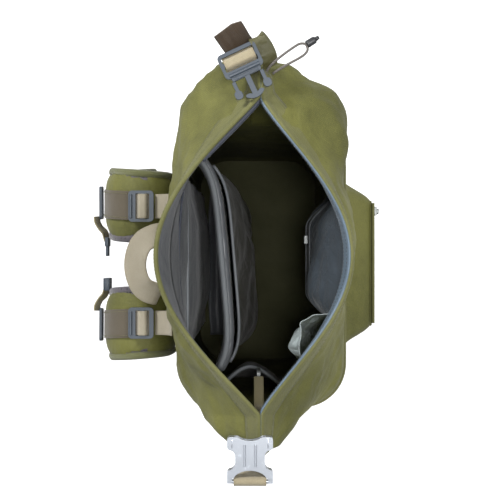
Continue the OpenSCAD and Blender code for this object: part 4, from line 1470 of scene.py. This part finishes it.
# %% Binding and facing of the straps
def edge_binding(name, edge, side, sign):
    """Tape folded over one edge of the strap: a flattened tube along it"""
    u = 0.03 if edge < 0 else 0.97
    path = [pad_point(u, i / 120, 0) for i in range(121)]
    bm = tube_mesh(path, 5.6 * MM, 14, (1, 0, 0), flat=1.0)
    for vert in bm.verts:
        f = min(range(0, 121, 2), key=lambda i: (path[i] - vert.co).length)
        ahead = along(path, f / 120)[1]
        wide = (Vector((1, 0, 0)) - ahead * ahead.x).normalized()
        out = wide.cross(ahead)
        away = vert.co - path[f]
        vert.co -= out * away.dot(out) * 0.52 + wide * away.dot(wide) * 0.3
    if sign < 0:
        mirror_x(bm)
    return on_strap(piece(name, bm, None, AIR_MESH if edge < 0 else WEB_OLIVE), side, sign)


def outer_band(name, w0, w1, width, off, material, side, sign, stands_for=(), thick=1.1):
    bm = bend_grid(8, 90, lambda u, w: pad_point(
        0.5 + (u - 0.5) * width / pad_width(w0 + (w1 - w0) * w), w0 + (w1 - w0) * w, off),
        (width * MM, length_of(pad_path) * (w1 - w0)))
    face_outward(bm, lambda p: p - Vector((0.07 * sign, 0.09, 0.3)))
    crease(bm, 0.5 * MM, (30, 30, 24), 81 + sign)
    if sign < 0:
        mirror_x(bm)
    return on_strap(piece(name, bm, None, material, stands_for, thick=thick * MM, offset=0,
                          rounding=0.3 * MM), side, sign)


for side, sign in SIDES:
    edge_binding(f"strap_edge_inner_{side}", -1, side, sign)
    edge_binding(f"strap_edge_outer_{side}", 1, side, sign)
    outer_band(f"strap_band_{side}", 0.26, 0.9, 30, 7.3, FACING, side, sign,
               f"strap_band_{side}")
    for number, u in enumerate((-12.5, 12.5)):
        rows = [pad_point(0.5 + u / pad_width(0.26 + 0.64 * i / 120), 0.26 + 0.64 * i / 120, 8.1)
                for i in range(121)]
        if sign < 0:
            rows = [Vector((-p.x, p.y, p.z)) for p in rows]
        on_strap(stitch_row(f"band_stitch_{side}_{number}", rows, None, THREAD,
                            normal=lambda p: p - Vector((0, 0.08, 0.3))), side, sign)
print("bindings and facings made")


# %% Webbing between pack and straps
def crossing_strap(name, points, across, side, sign, start, end, stands_for, width=25):
    path = curve_through(points, 8)
    bm = strap_mesh(path, across, width * MM)
    if sign < 0:
        mirror_x(bm)
    obj = piece(name, bm, None, WEB_TAN, stands_for, thick=1.6 * MM, offset=0,
                rounding=0.35 * MM)
    start, end = [(x * sign, y, z) for x, y, z in (start, end)]
    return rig.blend(obj, "pack", f"strap_{side}", start, end)


for side, sign in SIDES:
    crossing_strap(f"lifter_webbing_{side}",
                   [[60, 79.6, 474], [60, 82, 467], [60, 88, 461.5], [60, 97.6, 458]],
                   (1, 0, 0), side, sign, (0.06, 0.080, 0.465), (0.06, 0.100, 0.465),
                   f"lifter_webbing_{side}")
    crossing_strap(f"strap_webbing_{side}",
                   [[112, 77.8, 22], [110, 80, 40], [104, 91, 80], [97, 105, 124],
                    [94, 112.2, 154]], (1, -0.25, 0), side, sign, (0.112, 0.078, 0.03),
                   (0.094, 0.112, 0.154), f"strap_webbing_{side}")
    bar_tack(f"lifter_tack_{side}", (60 * sign, 80.9, 471.5), (0, -0.35, 1), (0, 1, 0.35), 20,
             "pack")
    bar_tack(f"foot_tack_{side}", (111.6 * sign, 79.5, 26), (0, 0.1, 1), (0.25 * sign, 1, 0), 20,
             "pack")
    bar_tack(f"handle_tack_{side}", (30 * sign, 82.4, 456), (0, 0.4, 1), (0, 1, -0.4), 20,
             "handle")
print("crossing webbing made")

# %% [markdown]
# ## Buckles, sliders and hooks
# Hard pieces keep the frame's own shape. A copy is cleaned, its sharp edges are rounded, and
# moulded ribs are added where such a piece has them.


# %% Rounded copies of the frame's hard pieces
def refined(name, node, body, material, rounding=0.6, segments=3):
    """A copy of a node of the frame with its flat faces rejoined and its edges rounded"""
    bm = bmesh.new()
    bm.from_mesh(frame["nodes"][node].data)
    for layer in list(bm.loops.layers.uv):
        bm.loops.layers.uv.remove(layer)
    bmesh.ops.remove_doubles(bm, verts=bm.verts[:], dist=1e-5)
    bmesh.ops.dissolve_limit(bm, angle_limit=math.radians(1.5), verts=bm.verts[:],
                             edges=bm.edges[:])
    bm.normal_update()
    obj = piece(name, bm, body, material, node)
    edge = obj.modifiers.new("rounded edges", "BEVEL")
    edge.width = rounding * MM
    edge.segments = segments
    edge.limit_method = "ANGLE"
    edge.angle_limit = math.radians(32)
    edge.use_clamp_overlap = True
    weighted = obj.modifiers.new("even shading", "WEIGHTED_NORMAL")
    weighted.keep_sharp = True
    return obj


for side, sign in SIDES:
    refined(f"lifter_buckle_{side}", f"lifter_buckle_{side}", f"lifter_{side}", PLASTIC, 0.5)
    refined(f"adjuster_{side}", f"adjuster_{side}", f"strap_foot_{side}", PLASTIC, 0.5)
    refined(f"sternum_slider_{side}", f"sternum_slider_{side}", f"sternum_{side}", PLASTIC, 0.5)
refined("roll_plug", "roll_plug", "plug", PLASTIC, 0.6)
refined("plug_arm_front", "plug_arm_front", "arm_front", PLASTIC, 0.7)
refined("plug_arm_back", "plug_arm_back", "arm_back", PLASTIC, 0.7)
# The socket's light silver colour is partly painted highlight.
refined("roll_socket", "roll_socket", "socket", SILVER_AND_HIGHLIGHT, 0.8)
refined("inner_zip_slider", "inner_zip_slider", "inner_slider", METAL, 0.5)
refined("front_zip_slider", "front_zip_slider", "front_slider", METAL, 0.5)
refined("key_hook", "key_hook", "hook", METAL, 0.3)
refined("key_gate", "key_gate", "gate", METAL, 0.3)
print("hard pieces refined")


# %% Ribs on the buckles
def ribs(name, at, step, count, size, body, material, turn=0.0):
    """A few parallel moulded ribs with rounded edges"""
    bm = bmesh.new()
    for i in range(count):
        made = bmesh.ops.create_cube(bm, size=1.0)
        bmesh.ops.scale(bm, vec=Vector(size) * MM, verts=made["verts"])
        bmesh.ops.translate(bm, vec=Vector(step) * (i - (count - 1) / 2) * MM,
                            verts=made["verts"])
    bmesh.ops.bevel(bm, geom=bm.edges[:], offset=min(size) * 0.3 * MM, affect="EDGES",
                    segments=2, profile=0.5, material=-1)
    bmesh.ops.transform(bm, verts=bm.verts[:], matrix=Matrix.Translation(Vector(at) * MM)
                        @ Matrix.Rotation(math.radians(turn), 4, "Z"))
    return piece(name, bm, body, material)


ribs("socket_side", (-162, 0, 575.6), (0, 33, 0), 2, (8, 1.1, 0.8), "socket", SILVER_AND_HIGHLIGHT)
ribs("plug_grip", (177.2, 3.5, 572.2), (2.6, 0, 0), 2, (0.9, 24, 0.8), "plug", PLASTIC, 205)
print("ribs added")

# %% Webbing through the locks
LOCK_ROUTE = [[12.5, 0, -3.2], [6.4, 0, -2.6], [3.5, 0, -0.6], [3, 0, 2.5], [1.5, 0, 4.9],
              [-1.5, 0, 5.2], [-4.5, 0, 4.9], [-6, 0, 2.5], [-6.3, 0, -0.6], [-9, 0, -2.6],
              [-13, 0, -3.2]]


def lock_webbing(name, place, width, body, material, stands_for, sign=1):
    """Webbing that comes from below, passes over the lock's bar and goes down again"""
    path = [place @ p for p in curve_through(LOCK_ROUTE, 4)]
    across = (place.to_3x3() @ Vector((0, 1, 0))).normalized()
    bm = strap_mesh(path, across, width * MM)
    if sign < 0:
        mirror_x(bm)
    return piece(name, bm, body, material, stands_for, thick=1.5 * MM, offset=0,
                 rounding=0.35 * MM)


def turned(degrees, axis):
    return Matrix.Rotation(math.radians(degrees), 4, axis)


lifter_place = Matrix.Translation(Vector((60, 112, 461)) * MM) @ turned(90, "Z")
adjuster_place = (Matrix.Translation(Vector((93, 119.5, 170)) * MM) @ turned(-14, "X")
                  @ turned(-90, "Z") @ turned(-90, "Y"))
plug_place = Matrix.Translation(Vector((189, 9, 568.4)) * MM) @ turned(205, "Z")
for side, sign in SIDES:
    lock_webbing(f"lifter_loop_{side}", lifter_place, 25, f"lifter_{side}", WEB_TAN,
                 f"lifter_loop_{side}", sign)
    lock_webbing(f"adjuster_loop_{side}", adjuster_place, 25, f"strap_foot_{side}", WEB_TAN,
                 f"adjuster_loop_{side}", sign)
lock_webbing("roll_plug_loop", plug_place, 30, "plug", WEB_WIDE, "roll_plug_loop")
print("locks threaded")

# %% Socket loop and folded tail
SOCKET_LOOP = [[-189.8, 0, 541], [-192.8, 0, 552], [-193.8, 0, 563], [-193.8, 0, 571],
               [-195.4, 0, 574], [-198.2, 0, 574.6], [-200.6, 0, 572], [-200.8, 0, 566],
               [-197, 0, 552], [-192.6, 0, 541]]
strap("roll_socket_loop", SOCKET_LOOP, (0, 1, 0), 30, "socket", WEB_WIDE, 1.5,
      stands_for="roll_socket_loop")
TAIL = [[190.5, -4.5, 541], [192.5, -1, 547], [197.5, 4, 555], [205.5, 11, 563],
        [212, 16, 570], [218, 21, 577]]
tail_path = curve_through(TAIL, 8)
tail = strap_mesh(tail_path, (-0.45, 0.89, 0.05), 28 * MM, columns=16)
for vert in tail.verts:
    # The end is folded over its corner and curls, and a crease runs along it
    f = smooth(((vert.co - tail_path[0]).length - 0.022) / 0.024)
    side = (vert.co - Vector((0.205, 0.011, 0.563))).dot(Vector((-0.45, 0.89, 0.05))) / 0.014
    vert.co += Vector((0, -0.30, 1.0)) * MM * 2.6 * f * math.cos(side * 2.4)
    vert.co += Vector((-0.7, -0.5, 0.0)) * MM * 5.0 * f * f * max(0.0, -side)
piece("webbing_tail", tail, "pack", WEB_BROWN, "webbing_tail", thick=2.0 * MM, offset=0,
      rounding=0.35 * MM)
strap("tail_fold", [[188, -19, 548], [195, -18, 557], [203, -14, 562], [209, -9, 566],
                    [211, -6, 569], [208, -7, 571], [203, -10, 568]], (-0.5, 0.86, 0.1), 15,
      "pack", CANVAS_INSIDE, 1.4, crown=0.0006)
print("webbing at the tips made")


# %% Chest strap halves
def chest_web(sign):
    slider = pad_point(0.5, 15 / 27 + 1 / 27, 0) / MM
    ahead = along(pad_path, 16 / 27)[1]
    wide = (Vector((1, 0, 0)) - ahead * ahead.x).normalized()
    at = slider + wide.cross(ahead) * 10.2
    steps = ((-15, 6.4, 0), (-21, 6, -0.5), (-27, 3, -2), (-33, -1.4, -5), (-40, -3.6, -8))
    return at, [list(at + Vector(s)) for s in steps]


slider_at, chest_route = chest_web(1)
print("slider at", [round(c, 1) for c in slider_at])
for side, sign, node in (("right", 1, "sternum_plug"), ("left", -1, "sternum_socket")):
    strap(f"chest_web_{side}", chest_route, (0, 0.3, 1), 15, f"sternum_{side}", WEB_NARROW, 1.4,
          mirrored=sign < 0)


def block(bm, size, at, rounding):
    made = bmesh.ops.create_cube(bm, size=1.0)
    bmesh.ops.scale(bm, vec=Vector(size) * MM, verts=made["verts"])
    edges = list({e for v in made["verts"] for e in v.link_edges})
    cut = bmesh.ops.bevel(bm, geom=edges, offset=rounding * MM, affect="EDGES", segments=3,
                          profile=0.5, material=-1)
    bmesh.ops.translate(bm, vec=Vector(at) * MM,
                        verts=list({v for f in cut["faces"] for v in f.verts}
                                   | {v for v in made["verts"] if v.is_valid}))


plug_mesh = bmesh.new()
block(plug_mesh, (10, 4.4, 17), slider_at + Vector((-43, -4, -9)), 1.0)
for z in (-5.5, 0, 5.5):
    block(plug_mesh, (12, 2.6, 2.4), slider_at + Vector((-53, -4, -9 + z)), 0.6)
piece("sternum_plug", plug_mesh, "sternum_right", PLASTIC, "sternum_plug")
socket_mesh = bmesh.new()
for size, at in (((14, 1.5, 20), (0, -2.75, 0)), ((14, 1.5, 20), (0, 2.75, 0)),
                 ((14, 4.2, 2), (0, 0, -9)), ((14, 4.2, 2), (0, 0, 9)), ((3, 4.2, 17), (5.5, 0, 0))):
    block(socket_mesh, size, slider_at + Vector((-44, -4, -9)) + Vector(at), 0.5)
mirror_x(socket_mesh)
piece("sternum_socket", socket_mesh, "sternum_left", PLASTIC, "sternum_socket")
print("chest strap made")

# %% [markdown]
# ## Outside pockets
# A raised zip pocket covers most of the front. Stretch pockets sit low on both ends, under a
# compression strap each.


# %% Front pocket
def front_face(u, w, off=0.0):
    return wall(0.64 + 0.22 * u, 70 + 315 * w,
                -1.6 - 38 * plateau(u, 0.16) * plateau(w, 0.16) - off)


pocket = bend_grid(110, 110, front_face, (0.30, 0.33))
face_outward(pocket, from_axis)
crease(pocket, 3.0 * MM, (10, 10, 9), 91, lambda p: smooth(
    min((p.z - 0.07) / 0.03, (0.385 - p.z) / 0.03, (abs(p.z - 0.33) - 0.012) / 0.02,
        (0.130 - abs(p.x)) / 0.03)))
for vert in pocket.verts:
    vert.co.y = max(vert.co.y, -0.1402)
piece("front_pocket", pocket, "pack", CANVAS, "front_pocket", thick=1.2 * MM, offset=-1)
ring = ([(0.15 + 0.7 * i / 30, 0.15) for i in range(31)]
        + [(0.85, 0.15 + 0.7 * i / 30) for i in range(1, 31)]
        + [(0.85 - 0.7 * i / 30, 0.85) for i in range(1, 31)]
        + [(0.15, 0.85 - 0.7 * i / 30) for i in range(1, 31)])
piece("front_pocket_piping", tube_mesh([front_face(u, w, 0.2) for u, w in ring], 1.5 * MM, 8,
                                       (0.3, 1, 0.2)), "pack", CANVAS_HEM)
for number, inset in enumerate((0.175, 0.205)):
    loop = [(inset + (1 - 2 * inset) * i / 30, inset) for i in range(31)]
    loop += [(1 - inset, inset + (1 - 2 * inset) * i / 30) for i in range(1, 31)]
    loop += [(1 - inset - (1 - 2 * inset) * i / 30, 1 - inset) for i in range(1, 31)]
    loop += [(inset, 1 - inset - (1 - 2 * inset) * i / 30) for i in range(1, 31)]
    stitch_row(f"front_pocket_stitch_{number}", [front_face(u, w, 0.5) for u, w in loop],
               "pack", THREAD, normal=(0, -1, 0))
print("front pocket made")

# %% Front zip
tape = bend_grid(40, 6, lambda u, w: Vector((-68 + 136 * u, -141.2, 318 + 24 * w)) * MM,
                 (0.136, 0.024))
face_outward(tape, (0, -1, 0))
piece("front_zip_tape", tape, "pack", ZIP_TAPE, "front_zip", thick=0.8 * MM, offset=0)
zip_teeth("front_zip_coil", [Vector((-65 + 130 * i / 40, -142, 330)) * MM for i in range(41)],
          "pack", PLASTIC_DARK, (0, 0, 1), (0, -1, 0), pitch=1.5, size=(1.0, 4.4, 1.8))
for number, z in enumerate((320.5, 339.5)):
    piece(f"front_zip_flap_{number}", tube_mesh(
        [Vector((-69 + 138 * i / 40, -141.6, z + (2.5 if number else -2.5))) * MM
         for i in range(41)], 1.6 * MM, 8, (0, 0, 1)), "pack", CANVAS_HEM)
    stitch_row(f"front_zip_stitch_{number}", [Vector((-66 + 132 * i / 40, -141.9, z)) * MM
                                              for i in range(41)], "pack", THREAD,
               normal=(0, -1, 0))
print("front zip made")


# %% Side pockets and compression straps
def side_face(u, w, off=0.0):
    return wall(-0.09 + 0.175 * u, 8 + 167 * w,
                -1.5 - off - 26 * plateau(u, 0.5) * smooth(w * 1.6))


for side, sign in SIDES:
    stretch = bend_grid(60, 60, side_face, (0.16, 0.17))
    face_outward(stretch, from_axis)
    crease(stretch, 2.0 * MM, (18, 18, 14), 95 + sign,
           lambda p: smooth(min((p.z - 0.008) / 0.02, (0.168 - p.z) / 0.02)))
    hem = tube_mesh([side_face(i / 40, 1.0, 0.2) for i in range(41)], 3.0 * MM, 12, flat=1.6)
    if sign < 0:
        mirror_x(stretch)
        mirror_x(hem)
    piece(f"side_pocket_{side}", stretch, "pack", STRETCH, f"side_pocket_{side}",
          thick=1.4 * MM, offset=0)
    piece(f"side_pocket_hem_{side}", hem, "pack", WEB_OLIVE)
    belt = [wall(-0.128 + 0.24 * i / 50, 328, -1.15) for i in range(51)]
    strap(f"compression_strap_{side}", belt, (0, 0, 1), 20, "pack", WEB_TAN, 1.5,
          mirrored=sign < 0, stands_for=f"compression_strap_{side}")
    for number, v in enumerate((-0.122, 0.106)):
        at = wall(v, 328, -2.1) / MM
        before, after = wall(v - 0.01, 328), wall(v + 0.01, 328)
        ahead, out = (after - before).normalized(), from_axis(wall(v, 328)).normalized()
        at.x, ahead.x, out.x = at.x * sign, ahead.x * sign, out.x * sign
        bar_tack(f"compression_tack_{side}_{number}", at, ahead, out, 16, "pack")
print("outside pockets made")

# %% [markdown]
# ## Frame sheet and stay
# Both are hidden behind the lining and keep the frame's own shape.

# %% Hidden frame
for node, finish in (("frame_sheet", SHEET), ("frame_stay", ALLOY)):
    obj = frame["nodes"][node]
    obj.data.materials.clear()
    obj.data.materials.append(finish)
    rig.slot(obj, SLOT_OF[finish.name])
print("frame sheet and stay finished")

# %% Light, floor and view
scene = bpy.context.scene
scene.view_settings.view_transform = "Standard"
world = bpy.data.worlds.new("soft room")
scene.world = world
world.use_nodes = True
world.node_tree.nodes["Background"].inputs["Color"].default_value = (0.95, 0.98, 1.0, 1)
tree = world.node_tree
seen = tree.nodes.new("ShaderNodeLightPath")
shown = calculate(tree, "MAXIMUM", calculate(tree, "MAXIMUM", seen.outputs["Is Camera Ray"],
                                             seen.outputs["Is Glossy Ray"]),
                  seen.outputs["Is Transmission Ray"])
connect(tree, tree.nodes["Background"].inputs["Strength"],
        calculate(tree, "MULTIPLY_ADD", shown, 0.72, 0.28))


def lamp(name, location, target, size, power):
    data = bpy.data.lights.new(name, "AREA")
    data.shape = "DISK"
    data.size = size
    data.energy = power
    obj = bpy.data.objects.new(name, data)
    obj.location = location
    obj.rotation_euler = (Vector(target) - Vector(location)).to_track_quat("-Z", "Y").to_euler()
    scene.collection.objects.link(obj)
    return obj


lamp("key", (0.95, 0.85, 1.45), (0, 0, 0.5), 0.35, 22)
lamp("straight down", (0.0, -0.05, 2.1), (0, -0.03, 0.2), 0.2, 7)
lamp("into the mouth", (0.05, -0.45, 1.9), (0, 0.04, 0.35), 0.4, 12)
lamp("low front", (0.2, -1.8, 0.7), (0, 0, 0.3), 1.2, 6)
lamp("low back", (-0.3, 1.8, 0.7), (0, 0, 0.3), 1.2, 5)

floor_mesh = bmesh.new()
bmesh.ops.create_grid(floor_mesh, x_segments=4, y_segments=4, size=6)
mesh = bpy.data.meshes.new("floor")
floor_mesh.to_mesh(mesh)
floor_mesh.free()
floor = bpy.data.objects.new("floor", mesh)
scene.collection.objects.link(floor)
pale_floor = bpy.data.materials.new("pale floor")
pale_floor.use_nodes = True
tree = pale_floor.node_tree
shader = tree.nodes["Principled BSDF"]
shader.inputs["Base Color"].default_value = (0.86, 0.86, 0.86, 1)
shader.inputs["Roughness"].default_value = 0.9
seen = tree.nodes.new("ShaderNodeLightPath")
shader.inputs["Emission Color"].default_value = (1, 1, 1, 1)
connect(tree, shader.inputs["Emission Strength"],
        calculate(tree, "MULTIPLY", seen.outputs["Is Camera Ray"], 0.5))
mesh.materials.append(pale_floor)
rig.stage(floor)
print("light and floor ready")

# %% Sizes, and finish
visual_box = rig.bounds()
with open("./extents.json", "w") as handle:
    json.dump({"cad": [list(c) for c in cad_box], "visual": [list(c) for c in visual_box]}, handle)
print("CAD", cad_box, "visual", visual_box)
